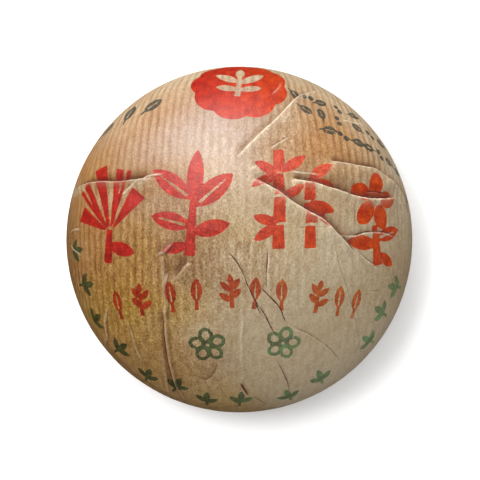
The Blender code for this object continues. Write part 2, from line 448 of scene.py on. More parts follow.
@dataclass(frozen=True)
class Crease:
    """One crease of the paper, drawn as it shows in the picture from above, in millimetres.

    height is the cross profile's unit and width stretches it. The next two set how dark its valley
    is, by soiling and painted shade, and how pale its raised edge is, by rubbed paper and painted
    highlight. lap is the width of paper that it takes in and fade is the length over which it dies
    out at both ends.
    """

    kind: CreaseKind
    corners: tuple[Pair, ...]
    height: float = 0.5
    width: float = 1.0
    grime: float = 0.5
    wear: float = 0.5
    lap: float = 0.0
    fade: float = 5.0

    def line(self) -> Array:
        """The crease's line as closely spaced points."""
        return smooth_line(self.corners, 0.3)

    def reach(self) -> float:
        """How far from its line the crease moves the paper."""
        return self.kind.value[-1][0] * self.width

    def measure(self, seen: Array) -> tuple[Array, Array, Array, Array]:
        """Find the points near the crease and how they lie to it.

        Args:
            seen: Places in the picture, one to a row.

        Returns:
            The near points' numbers, their distances to the right of the line, the strength
            that is left there after fading and wandering, and the crease's right-hand side.
        """
        line = self.line()
        margin, batch = 1.0, 4000
        reach = self.reach() + margin
        low, high = line.min(0) - reach, line.max(0) + reach
        near = np.flatnonzero(np.all((seen > low) & (seen < high), axis=1))
        travelled = along_length(line)
        direction = directions(line)
        right = np.stack([direction[:, 1], -direction[:, 0]], axis=1)
        closest = np.empty(len(near), int)
        for start in range(0, len(near), batch):
            part = near[start:start + batch]
            gaps = ((seen[part, None, :] - line[None]) ** 2).sum(2)
            closest[start:start + batch] = gaps.argmin(1)
        offset = seen[near] - line[closest]
        gap = np.linalg.norm(offset, axis=1)
        outward = seen[near] / np.maximum(np.hypot(*seen[near].T), 0.1)[:, None]
        downhill = (outward * right[closest]).sum(1)
        gap *= np.sqrt(1 + downhill**2 * (slant_at(seen[near]) ** 2 - 1))
        side = np.sign((offset * right[closest]).sum(1)) * gap
        place = travelled[closest]
        left = travelled[-1] - place
        wander, uneven = self._unevenness(place)
        strength = ease(place / self.fade) * ease(left / self.fade) * uneven
        return near, side + wander * min(self.width, 1.0), strength, right[closest]

    def _unevenness(self, place: Array) -> tuple[Array, Array]:
        """Let the crease waver and vary, each in a long and a short wave.

        Args:
            place: Distances along the crease.

        Returns:
            How far the line wanders sideways, in millimetres, and how strong the crease is.
        """
        phase = self.corners[0][0] * 1.7 + self.corners[0][1]
        wander = 0.10 * np.sin(place * 0.7 + phase) + 0.02 * np.sin(place * 2.3 - phase)
        swing = 0.12 * np.sin(place * 0.6 + 2 * phase)
        return wander, 0.88 + swing + 0.03 * np.sin(place * 1.7 + phase)


@dataclass
class CreaseField:
    """What all the creases do to a set of points: height in metres, soiling and painted shade,
    rubbed paper and painted highlight, and paper taken in.

    nearness is the distance to the nearest crease. side, edge, dark and pale are that crease's:
    the distance to its dark line, how far its pale line lies from that, both in millimetres, and
    how strong the two lines are. The dark line is soiling and painted shade, the pale line rubbed
    paper and painted highlight.
    """

    height: Array
    grime: Array
    wear: Array
    shift: Array
    nearness: Array
    side: Array
    edge: Array
    dark: Array
    pale: Array

    @classmethod
    def over(cls, seen: Array, creases: tuple[Crease, ...]) -> "CreaseField":
        """Add up the creases at places in the picture.

        Args:
            seen: Places in the picture, one to a row.
            creases: The creases.

        Returns:
            The field at each place.
        """
        count = len(seen)
        empty = [np.zeros(count) for _ in range(6)]
        far_away = [np.full(count, distance) for distance in (99.0, 9.0)]
        made = cls(*empty[:3], np.zeros((count, 2)), *far_away, *empty[3:])
        for crease in creases:
            made._add(crease, seen)
        made.grime = np.clip(made.grime, 0, 1)
        made.wear = np.clip(made.wear, 0, 1)
        return made

    def _add(self, crease: Crease, seen: Array) -> None:
        """Add one crease to the field.

        Args:
            crease: The crease.
            seen: Places in the picture, one to a row.
        """
        lap_fade, line_fade = 4.0, 1.3
        near, side, strength, right = crease.measure(seen)
        if not len(near):
            return
        scaled = side / crease.width
        self.height[near] += strength * crease.height * MM * crease.kind.heights(scaled)
        if crease.kind is CreaseKind.SWELL:
            return
        marks = CREASE_MARKS[crease.kind]
        # The valleys are darkened by soiling and painted shade, the edge paled by rubbed paper and
        # painted highlight.
        self.grime[near] += strength * crease.grime * marks.dirt_and_shade(scaled)
        self.wear[near] += strength * crease.wear * marks.rub_and_highlight(scaled)
        past = np.clip(scaled, 0, None)
        taken = crease.lap * strength * np.where(scaled > 0, np.exp(-past / lap_fade), 0.0)
        self.shift[near] += right * taken[:, None]
        closer = np.abs(side) < self.nearness[near]
        nearest, side, strength = near[closer], side[closer], strength[closer]
        from_line = side - marks.valleys[0] * crease.width
        left = strength * bell(from_line, line_fade)
        self.nearness[nearest] = np.abs(side)
        self.side[nearest] = from_line
        self.edge[nearest] = (marks.edge - marks.valleys[0]) * crease.width
        # The thin dark line is soiling and painted shade, the thin pale line rubbed paper and
        # painted highlight.
        self.dark[nearest] = left * crease.grime
        self.pale[nearest] = left * crease.wear


# Each kind: its valleys, the place of its edge, the width of its band of painted shade and of
# its pale band of rubbed paper and painted highlight.
CREASE_MARKS = {
    CreaseKind.LAPPED: CreaseMarks((-0.1,), 0.55, 1.6, 1.6),
    CreaseKind.RIDGE: CreaseMarks((-0.85,), 0.0, 0.0, 0.7),
    CreaseKind.PINCHED: CreaseMarks((-0.85, 0.85), -0.05, 1.6, 0.5),
    CreaseKind.SCORED: CreaseMarks((0.0,), 0.50, 0.0, 0.8),
    CreaseKind.TIDE: CreaseMarks((0.0,), 0.9, 2.2, 0.8),
}


class Ink(Enum):
    """The printed layers, each kept on the paper as the distance to its nearest edge."""

    RED = "ink_red"
    ROW = "ink_row"
    GREEN = "ink_green"
    BLACK = "ink_black"


@dataclass(frozen=True)
class Blade:
    """A straight cut stroke whose width changes evenly from one end to the other."""

    start: Pair
    end: Pair
    start_width: float
    end_width: float

    def distance(self, points: Array) -> Array:
        """How far points lie from the stroke's edge.

        Args:
            points: The points, one to a row.

        Returns:
            Signed distances, negative inside.
        """
        start = np.array(self.start)
        axis = np.array(self.end) - start
        length = np.hypot(*axis)
        axis = axis / length
        travelled = (points - start) @ axis
        side = np.abs((points - start) @ np.array([axis[1], -axis[0]]))
        share = np.clip(travelled / length, 0, 1)
        half = 0.5 * (self.start_width + (self.end_width - self.start_width) * share)
        return np.maximum(side - half, np.maximum(-travelled, travelled - length))


@dataclass(frozen=True)
class Leaf:
    """A pointed leaf: what two equal circles have in common."""

    base: Pair
    tip: Pair
    width: float

    def distance(self, points: Array) -> Array:
        """How far points lie from the leaf's edge.

        Args:
            points: The points, one to a row.

        Returns:
            Signed distances, negative inside.
        """
        base = np.array(self.base)
        axis = np.array(self.tip) - base
        length = np.hypot(*axis)
        bow = (length**2 / 4 + self.width**2 / 4) / self.width
        middle = base + axis / 2
        side = np.array([axis[1], -axis[0]]) / length * (bow - self.width / 2)
        first = np.linalg.norm(points - middle - side, axis=1)
        second = np.linalg.norm(points - middle + side, axis=1)
        return np.maximum(first, second) - bow


@dataclass(frozen=True)
class Disc:
    """A round spot."""

    centre: Pair
    radius: float

    def distance(self, points: Array) -> Array:
        """The signed distance from each point to the spot's edge, negative inside."""
        return np.linalg.norm(points - np.array(self.centre), axis=1) - self.radius


@dataclass(frozen=True)
class Outline:
    """The outline of another shape, drawn with a stroke of even width."""

    shape: Blade | Leaf | Disc
    stroke: float

    def distance(self, points: Array) -> Array:
        """The signed distance from each point to the outline's edge, negative inside."""
        return np.abs(self.shape.distance(points)) - self.stroke / 2


Shape = Blade | Leaf | Disc | Outline


@dataclass(frozen=True)
class Motif:
    """A small printed picture: its inked shapes, and the lines carved out of them."""

    inked: tuple[Shape, ...]
    carved: tuple[Shape, ...] = ()
    reach: float = 18.0

    def distance(self, points: Array) -> Array:
        """How far points lie from the motif's edge.

        Args:
            points: The points, one to a row.

        Returns:
            Signed distances, negative inside.
        """
        made = np.min([shape.distance(points) for shape in self.inked], axis=0)
        if self.carved:
            cut = np.min([shape.distance(points) for shape in self.carved], axis=0)
            made = np.maximum(made, -cut)
        return made


def ray(angle: float, length: float, foot: Pair = (0.0, 0.0)) -> Pair:
    """The point at a length and an angle in degrees from a foot."""
    turn = math.radians(angle)
    return foot[0] + length * math.cos(turn), foot[1] + length * math.sin(turn)


def fan_leaf() -> Motif:
    """A fan-shaped leaf of wedge blades on a stalk, about 24 by 30 mm.

    Returns:
        The motif.
    """
    foot = (0.4, -7.0)
    spread = ((146, 15.0), (121, 20.5), (97, 23.5), (71, 21.5), (44, 16.5))
    blades = [Blade(ray(a, 2.0, foot), ray(a, length, foot), 0.7, 6.0) for a, length in spread]
    stalk = (Blade((0.4, -6.0), (-1.6, -17.0), 2.2, 3.4), Leaf((-0.6, -11.0), (9.0, -14.8), 4.6))
    nicks = tuple(Blade(ray(a, 13.0, foot), ray(a, 24.0, foot), 0.5, 1.5) for a in (123, 69))
    return Motif((*blades, *stalk), nicks)


def tea_sprig() -> Motif:
    """A tea sprig with a bud and two pairs of leaves, about 25 by 32 mm.

    Returns:
        The motif.
    """
    leaves = (
        Leaf((0.6, -0.5), (2.6, 17.0), 5.4),
        Leaf((0.3, 1.0), (-12.5, 11.5), 6.4),
        Leaf((0.8, -1.5), (13.5, 8.5), 6.6),
        Leaf((0.0, -7.5), (-13.0, -3.5), 5.6),
        Leaf((0.2, -9.5), (12.0, -7.0), 5.2),
    )
    veins = (
        Blade((-1.2, 2.2), (-10.0, 9.5), 1.0, 0.5),
        Blade((2.6, -0.2), (11.0, 6.6), 1.0, 0.5),
        Blade((-2.0, -6.9), (-10.5, -4.3), 0.9, 0.5),
    )
    stem = (Blade((-0.8, -16.5), (1.0, 2.0), 3.4, 2.0), Leaf((-0.8, -13.0), (-9.6, -14.8), 3.6))
    return Motif((*leaves, *stem), veins)


def bamboo() -> Motif:
    """Two jointed canes with narrow leaves, about 24 by 30 mm.

    Returns:
        The motif.
    """
    tall = tuple(
        Blade((-4.6 - 0.1 * n, -15.5 + 8.2 * n), (-5.0 - 0.1 * n, -8.1 + 8.2 * n), 4.0, 3.4)
        for n in range(4)
    )
    short = tuple(
        Blade((5.4 - 0.2 * n, -15.0 + 7.6 * n), (5.0 - 0.2 * n, -8.2 + 7.6 * n), 3.8, 3.2)
        for n in range(3)
    )
    leaves = (
        Leaf((-5.4, 8.4), (-13.8, 3.6), 3.4),
        Leaf((-5.6, 8.8), (-13.0, 12.0), 3.2),
        Leaf((-4.4, 8.9), (3.8, 15.2), 3.6),
        Leaf((-4.2, 0.6), (3.0, 4.4), 3.2),
        Leaf((4.6, 7.4), (12.6, 12.8), 3.6),
        Leaf((5.0, 7.0), (13.8, 5.0), 3.2),
        Leaf((5.0, -0.4), (13.4, -3.2), 3.4),
        Leaf((4.8, -0.6), (11.6, -8.6), 3.2),
        Leaf((-5.2, -7.6), (-13.0, -5.6), 3.2),
        Leaf((-5.2, -8.0), (-12.4, -13.2), 3.4),
    )
    return Motif((*tall, *short, *leaves))


def blossom_branch() -> Motif:
    """A five-petalled flower on a branch with a bud, about 24 by 30 mm.

    Returns:
        The motif.
    """
    heart = (-1.5, 5.5)
    petals = tuple(Leaf(ray(a, 1.6, heart), ray(a, 10.4, heart), 6.4) for a in range(90, 450, 72))
    branch = (
        Blade((-0.5, -2.5), (3.4, -16.0), 2.4, 4.2),
        Leaf((1.0, -7.0), (12.6, -1.8), 5.0),
        Leaf((1.6, -9.0), (-10.8, -9.4), 4.8),
        Leaf((2.6, -11.8), (11.4, -15.4), 4.0),
    )
    return Motif((*petals, *branch), (Disc(heart, 1.9), Blade((2.4, -6.4), (9.8, -3.2), 0.9, 0.5)))


def row_leaf() -> Motif:
    """A small pointed leaf with a bare vein and a stalk, about 4 by 9 mm."""
    leaf = (Leaf((-0.5, -2.6), (0.9, 4.6), 3.4), Blade((-0.9, -4.9), (-0.4, -2.0), 1.3, 1.0))
    return Motif(leaf, (Blade((-0.35, -1.6), (0.6, 3.0), 0.55, 0.3),), reach=6.5)


def row_twig() -> Motif:
    """A small twig with four leaflets, about 6 by 9 mm.

    Returns:
        The motif.
    """
    stem = Blade((-0.9, -4.7), (0.6, 2.6), 1.4, 0.9)
    leaflets = (
        Leaf((-0.5, -2.6), (-3.5, 0.6), 2.0),
        Leaf((-0.3, -1.8), (3.0, 0.4), 2.0),
        Leaf((0.1, 0.2), (-2.4, 3.8), 1.9),
        Leaf((0.3, 0.6), (3.4, 3.4), 1.9),
    )
    return Motif((stem, *leaflets, Leaf((0.5, 2.0), (0.9, 5.3), 1.8)), reach=6.5)


def open_blossom() -> Motif:
    """A five-petalled flower in outline, about 13 mm across."""
    petals = tuple(Outline(Leaf(ray(a, 1.5), ray(a, 6.2), 4.0), 1.35) for a in range(90, 450, 72))
    return Motif((*petals, Outline(Disc((0.0, 0.0), 1.1), 0.9)), reach=8.5)


def rim_sprout() -> Motif:
    """A sprout with three small leaves, about 7 mm high.

    Returns:
        The motif.
    """
    leaves = (
        Leaf((0.0, -1.8), (-3.4, 1.8), 2.2),
        Leaf((0.0, -1.4), (3.6, 1.2), 2.2),
        Leaf((0.0, -0.9), (0.3, 4.2), 2.1),
    )
    return Motif((*leaves, Blade((-0.5, -4.0), (0.0, 0.4), 1.0, 0.8)), reach=6.0)


def small_leaf() -> Motif:
    """A small pointed leaf with a bare vein and a stalk, about 4.4 mm long."""
    leaf = (Leaf((-1.5, -0.3), (2.0, 0.4), 2.3), Blade((-2.3, -0.6), (-1.0, -0.2), 0.4, 0.5))
    return Motif(leaf, (Blade((-0.9, -0.15), (1.2, 0.22), 0.30, 0.22),), reach=3.2)


def berry_pair() -> Motif:
    """Two berries side by side, about 3 mm across."""
    return Motif((Disc((-0.85, 0.1), 0.75), Disc((0.85, -0.15), 0.7)), reach=3.2)


def medallion() -> Motif:
    """A scalloped field with a sprig left bare in its middle, about 36 by 30 mm.

    Returns:
        The motif.
    """
    centre = (0.0, 0.0)
    lobes = [Disc(ray(a, 9.4, centre), 6.9) for a in range(18, 378, 40)]
    bare = (
        Blade((-0.6, -7.2), (0.3, 3.0), 1.9, 1.4),
        Leaf((0.0, 1.0), (0.6, 9.2), 3.1),
        Leaf((0.0, -1.0), (-8.2, 5.0), 3.5),
        Leaf((0.0, -1.6), (8.4, 4.4), 3.5),
        Leaf((-0.3, -4.4), (-7.6, -2.6), 2.8),
        Leaf((-0.2, -4.6), (7.4, -3.2), 2.8),
    )
    return Motif((Disc(centre, 11.5), *lobes), bare, 19.0)


@dataclass(frozen=True)
class Mark:
    """A motif printed at a place of the picture, in millimetres, turned and sized."""

    motif: Motif
    ink: Ink
    seen: Pair
    turn: float = 0.0
    size: float = 1.0
    mirrored: bool = False


@dataclass(frozen=True)
class PaperPrint:
    """The generic ornament printed on the paper."""

    def big_marks(self) -> list[Mark]:
        """The four large red pictures in an arch across the dome.

        Returns:
            The marks, from left to right.
        """
        return [
            Mark(fan_leaf(), Ink.RED, (-41.4, 8.6), 7.0, 1.0),
            Mark(tea_sprig(), Ink.RED, (-15.2, 11.6), 2.0, 1.0),
            Mark(bamboo(), Ink.RED, (17.2, 12.2), -2.0, 0.98),
            Mark(blossom_branch(), Ink.RED, (43.0, 6.6), -8.0, 0.98),
        ]

    def row_marks(self) -> list[Mark]:
        """The row of ten small pictures under the large ones.

        Returns:
            The marks, from left to right.
        """
        across = (-37.6, -30.6, -21.3, -13.4, -2.6, 4.9, 13.2, 24.6, 31.3, 36.6)
        marks = []
        for index, place in enumerate(across):
            down = -16.6 - 0.0026 * place * place
            motif = row_leaf() if index % 3 != 1 else row_twig()
            turn = 14.0 * (-1) ** index - 0.25 * place
            marks.append(Mark(motif, Ink.ROW, (place, down), turn, 1.06, index % 2 == 1))
        return marks

    def green_marks(self) -> list[Mark]:
        """The two flowers, and the ring of sprouts near the rim.

        Returns:
            The marks.
        """
        marks = [
            Mark(open_blossom(), Ink.GREEN, (-10.0, -33.4), 8.0, 0.92),
            Mark(open_blossom(), Ink.GREEN, (13.6, -32.4), -14.0, 0.86),
        ]
        bearings = (184, 196.5, 209, 222.5, 236, 247, 258.5, 270.5, 287.5, 300.5, 322, 333, 343)
        for index, bearing in enumerate(bearings):
            seen = ray(bearing, 50.6 + 0.6 * (-1) ** index)
            marks.append(Mark(rim_sprout(), Ink.GREEN, seen, bearing + 90.0, 1.2, index % 2 == 0))
        return marks

    def black_marks(self) -> list[Mark]:
        """Three rows of leaves and berries at the upper right, and three leaves at the upper left.

        Returns:
            The marks.
        """
        rows = (
            ((17.4, 45.7), (21.5, 44.5), (25.5, 43.1), (31.0, 40.9), (35.6, 38.7)),
            ((20.8, 41.0), (26.0, 39.4), (31.2, 37.3), (37.0, 34.8), (40.8, 32.5), (44.3, 29.7)),
            ((28.2, 34.4), (32.6, 32.4), (37.0, 30.3), (40.5, 28.5), (43.9, 26.3), (46.8, 24.0),
             (49.1, 21.2)),
        )
        berries = {(0, 1), (0, 3), (1, 2), (1, 4), (2, 1), (2, 4)}
        marks = []
        for row, places in enumerate(rows):
            for index, place in enumerate(places):
                motif = berry_pair() if (row, index) in berries else small_leaf()
                turn = -30.0 - 3.0 * index + 40.0 * math.sin(5.0 * place[0])
                size = 1.50 + 0.08 * math.sin(7.0 * place[1])
                marks.append(Mark(motif, Ink.BLACK, place, turn, size, index % 2 == 1))
        for place, turn in (((-41.3, 34.0), 15.0), ((-34.3, 39.0), 62.0), ((-27.3, 41.6), 24.0)):
            marks.append(Mark(small_leaf(), Ink.BLACK, place, turn, 2.2))
        return marks

    def marks(self) -> list[Mark]:
        """Every printed mark."""
        top = Mark(medallion(), Ink.RED, (0.0, 49.0), 0.0, 1.08)
        small = [*self.row_marks(), *self.green_marks(), *self.black_marks()]
        return [top, *self.big_marks(), *small]

    def layers(self, paper: Array, view: ViewPlane) -> dict[Ink, Array]:
        """How far each point of the flat paper lies from the edge of each ink.

        Args:
            paper: Points of the flat paper in millimetres.
            view: The picture that the marks' places are given in.

        Returns:
            Signed distances in millimetres for each ink, negative inside and at most FAR_FROM_INK.
        """
        layers = {ink: np.full(len(paper), FAR_FROM_INK) for ink in Ink}
        for mark in self.marks():
            centre = np.array(view.on_paper(mark.seen))
            reach = mark.motif.reach * mark.size + FAR_FROM_INK
            near = np.flatnonzero(np.abs(paper - centre).max(1) < reach)
            local = local_to(paper[near], centre, mark.turn) / mark.size
            if mark.mirrored:
                local = local * np.array([-1.0, 1.0])
            found = mark.motif.distance(local) * mark.size
            layers[mark.ink][near] = np.minimum(layers[mark.ink][near], found)
        return layers


class Tint(Enum):
    """How the paper varies from place to place, each kept as a strength from 0 to 1.

    The first six are tones. Most are the paper's own, but the pale patches beside the folds and
    along the rims are painted highlight, and the tea and smudged strips along the bottom edge
    are painted shade. RIBBED is how clearly the ribs show, GRAINY how coarse it looks and the
    smudged strength how much soil has caught on the ribs.
    """

    WARM = "warm"
    TEA = "tea"
    OLIVE = "olive"
    PALE = "pale"
    GREY = "grey"
    ROSE = "rose"
    RIBBED = "ribbed"
    GRAINY = "grainy"
    SMUDGED = "smudged"


@dataclass(frozen=True)
class Patch:
    """A soft-edged oval of paper with a tone or a texture, in the picture's millimetres.

    A strength below 0 takes some of the tone away again.
    """

    centre: Pair
    radii: Pair
    strength: float
    turn: float = 0.0

    def strength_at(self, seen: Array) -> Array:
        """How strong the patch is at each place of the picture."""
        local = local_to(seen, self.centre, self.turn) / np.array(self.radii)
        return self.strength * np.exp(-((local**2).sum(1)) ** 1.2)


# Each patch: its centre, its half width and height, its strength and its turn in degrees.
PATCHES = {
    Tint.ROSE: (
        Patch((-14, 28), (24, 22), 0.9), Patch((10, 40), (26, 12), 0.6, -20),
        Patch((-36, 30), (16, 16), 0.3), Patch((-10, 18), (16, 9), 0.5),
    ),
    Tint.WARM: (
        Patch((-47, -4), (15, 34), 1.0), Patch((-20, 20), (16, 7), 0.5),
        Patch((-24, 44), (24, 9), 0.45, 28), Patch((30, 31), (22, 12), 0.8, -42),
        Patch((-30, -34), (27, 18), 0.8, -42), Patch((16, 27), (12, 8), 0.5),
        Patch((-28, -22), (10, 6), 0.4), Patch((-46, 19), (8, 9), 0.4),
        Patch((-33, 36), (12, 10), 0.25),
    ),
    # The strips at (-6, -56) and (0, -52) are painted shade: the paper darker towards the bottom
    # edge.
    Tint.TEA: (
        Patch((-24, 21), (14, 7), 0.35), Patch((-16, -4), (12, 11), 0.8),
        Patch((-38, 2), (15, 22), 0.55), Patch((-30, 17.5), (14, 4), 0.6, 8),
        Patch((-54, -8), (4, 30), 0.6), Patch((-8, -8), (8, 7), 0.5),
        Patch((-39, -43), (5, 30), 0.7, 42), Patch((-6, -56), (34, 6), 0.8),
        Patch((2, 14), (14, 4), 0.3, -10), Patch((3, -12), (9, 16), 0.35, 10),
        Patch((35, 18), (12, 3.2), 0.7, -12), Patch((20, 27), (11, 9), 0.4, -30),
        Patch((3, 39), (9, 6), 0.3), Patch((-17, 10), (8, 8), 0.3), Patch((-31, -4), (6, 7), 0.35),
        Patch((-42, -14), (6, 6), 0.35), Patch((-16, 14), (12, 8), 0.35),
        Patch((-32, -35), (8, 5), 0.2, -30), Patch((0, -52), (14, 3), 0.6),
        Patch((-41, -15), (5, 5), 0.25), Patch((-9, -42), (9, 5), 0.25),
        Patch((-19, -42), (17, 6), 0.35), Patch((-4, -39), (6, 10), 0.5),
        Patch((53, -9), (4, 11), 0.2),
    ),
    Tint.OLIVE: (
        Patch((10, -9), (7, 8), 0.5), Patch((-33, -22), (16, 12), 1.0, -25),
        Patch((-18, -44), (18, 8), 0.5, -15), Patch((-13, -22), (8, 7), 0.4),
        Patch((-2, 4), (9, 12), 0.35), Patch((4, -8), (5, 9), 0.25), Patch((0, -51), (12, 4), 0.3),
        Patch((-1, -48), (8, 6), 0.6), Patch((-31, -1), (7, 9), 0.45),
        Patch((-18, -23), (9, 6), 0.45), Patch((-45, -23), (6, 7), 0.5),
    ),
    # Besides pale paper these hold painted highlight: the small patches beside the folds are lit
    # facets, and the long strips along the top, right and lower-right rims are lit rims.
    Tint.PALE: (
        Patch((40, 39), (5, 24), 0.5, 45), Patch((31, 0), (5, 5), 0.7, 20),
        Patch((-9, -24), (11, 7), 0.3), Patch((20, -10), (16, 10), 0.25),
        Patch((6, -23), (6, 5), 0.3), Patch((26, -40), (13, 7), 0.55, 10),
        Patch((-13, -30), (6, 5), 0.25), Patch((14, -50), (6, 4), 0.4),
        Patch((-35, 42), (14, 6), 0.55, 42), Patch((-20, 50), (9, 5), 0.5, 20),
        Patch((23, 49), (8, 5), 0.4, -25), Patch((34, 42), (10, 5), 0.35, -50),
        Patch((50, 18), (5, 8), 0.6), Patch((14, 36), (8, 8), 0.25),
        Patch((-41, 13), (5, 4), 0.45), Patch((33, -41), (8, 5), 0.3, 10),
        Patch((-26, -26), (5, 5), 0.15), Patch((31, -4), (6, 6), 0.6), Patch((41, 6), (6, 5), 0.4),
        Patch((-50, 15.3), (3, 1.6), 0.6, 20), Patch((-32, 16.8), (3.4, 1.6), 0.45, 40),
        Patch((28, -43), (10, 6), 0.3, 25), Patch((28, -7), (11, 13), 0.2),
        Patch((44, 28), (7, 9), 0.4, 35), Patch((13.6, 11.6), (3.2, 1.6), 0.45, -35),
        Patch((24.0, 6.0), (4.6, 3.0), 0.8, -35), Patch((22.5, 17.2), (3.6, 1.3), 0.5, -14),
        Patch((33, -5), (5.5, 4), 0.85, -40), Patch((-8, 22), (12, 7), 0.3),
        Patch((40, 17), (8, 3), 0.35, -20), Patch((53, 12), (5, 24), 0.6, 8),
        Patch((40, -36), (9, 28), 1.0, -48), Patch((0, 53), (30, 4), 0.5),
    ),
    # The patches below 0 take grey away under the painted lit facets.
    Tint.GREY: (
        Patch((0, 12), (14, 9), 0.6), Patch((0, -7), (12, 7), 0.7),
        Patch((24, -20), (28, 28), 0.9), Patch((12, -40), (26, 14), 0.7),
        Patch((31, -4), (6, 5), -0.45, -30), Patch((24, 6), (4.5, 3), -0.45, -35),
        Patch((32, -42), (9, 5), -0.4), Patch((40, 4), (16, 12), 0.9),
    ),
    Tint.RIBBED: (
        Patch((0, 0), (200, 200), 0.4), Patch((34, 36), (27, 18), 0.6, -42),
        Patch((-30, 40), (34, 18), 0.45, 35), Patch((-40, -6), (20, 24), 0.6),
        Patch((-4, -8), (18, 9), 0.35), Patch((14, -34), (40, 24), -0.34, 10),
        Patch((34, -10), (16, 14), -0.2),
    ),
    Tint.GRAINY: (
        Patch((0, 0), (200, 200), 0.5), Patch((-20, -8), (26, 17), 0.5),
        Patch((-36, -24), (20, 22), 0.45), Patch((-14, -40), (14, 10), 0.35),
        Patch((18, -32), (34, 24), -0.15), Patch((18, 28), (16, 11), 0.35, -20),
        Patch((-16, 12), (14, 9), 0.3),
    ),
    # The strip at (0, -52) is painted shade: the paper darker towards the bottom edge.
    Tint.SMUDGED: (
        Patch((4, -8), (6, 8), 0.3), Patch((0, -52), (14, 3), 0.7),
        Patch((-35, -26), (12, 10), 0.4), Patch((-12, -42), (12, 8), 0.4),
        Patch((3, -8), (11, 8), 1.0), Patch((-15, -4), (12, 8), 0.8),
        Patch((-36, -10), (14, 12), 0.5), Patch((18, 2), (14, 6), 0.25, -20),
        Patch((20, 28), (15, 8), 0.5, -20), Patch((33, 8), (9, 7), 0.55, -20),
        Patch((-34, 2), (14, 14), 0.45), Patch((-10, 10), (24, 5), 0.3),
    ),
}

TONES = (Tint.ROSE, Tint.WARM, Tint.TEA, Tint.OLIVE, Tint.PALE, Tint.GREY)

LAPPED, RIDGE, PINCHED, SCORED, SWELL, TIDE = CreaseKind
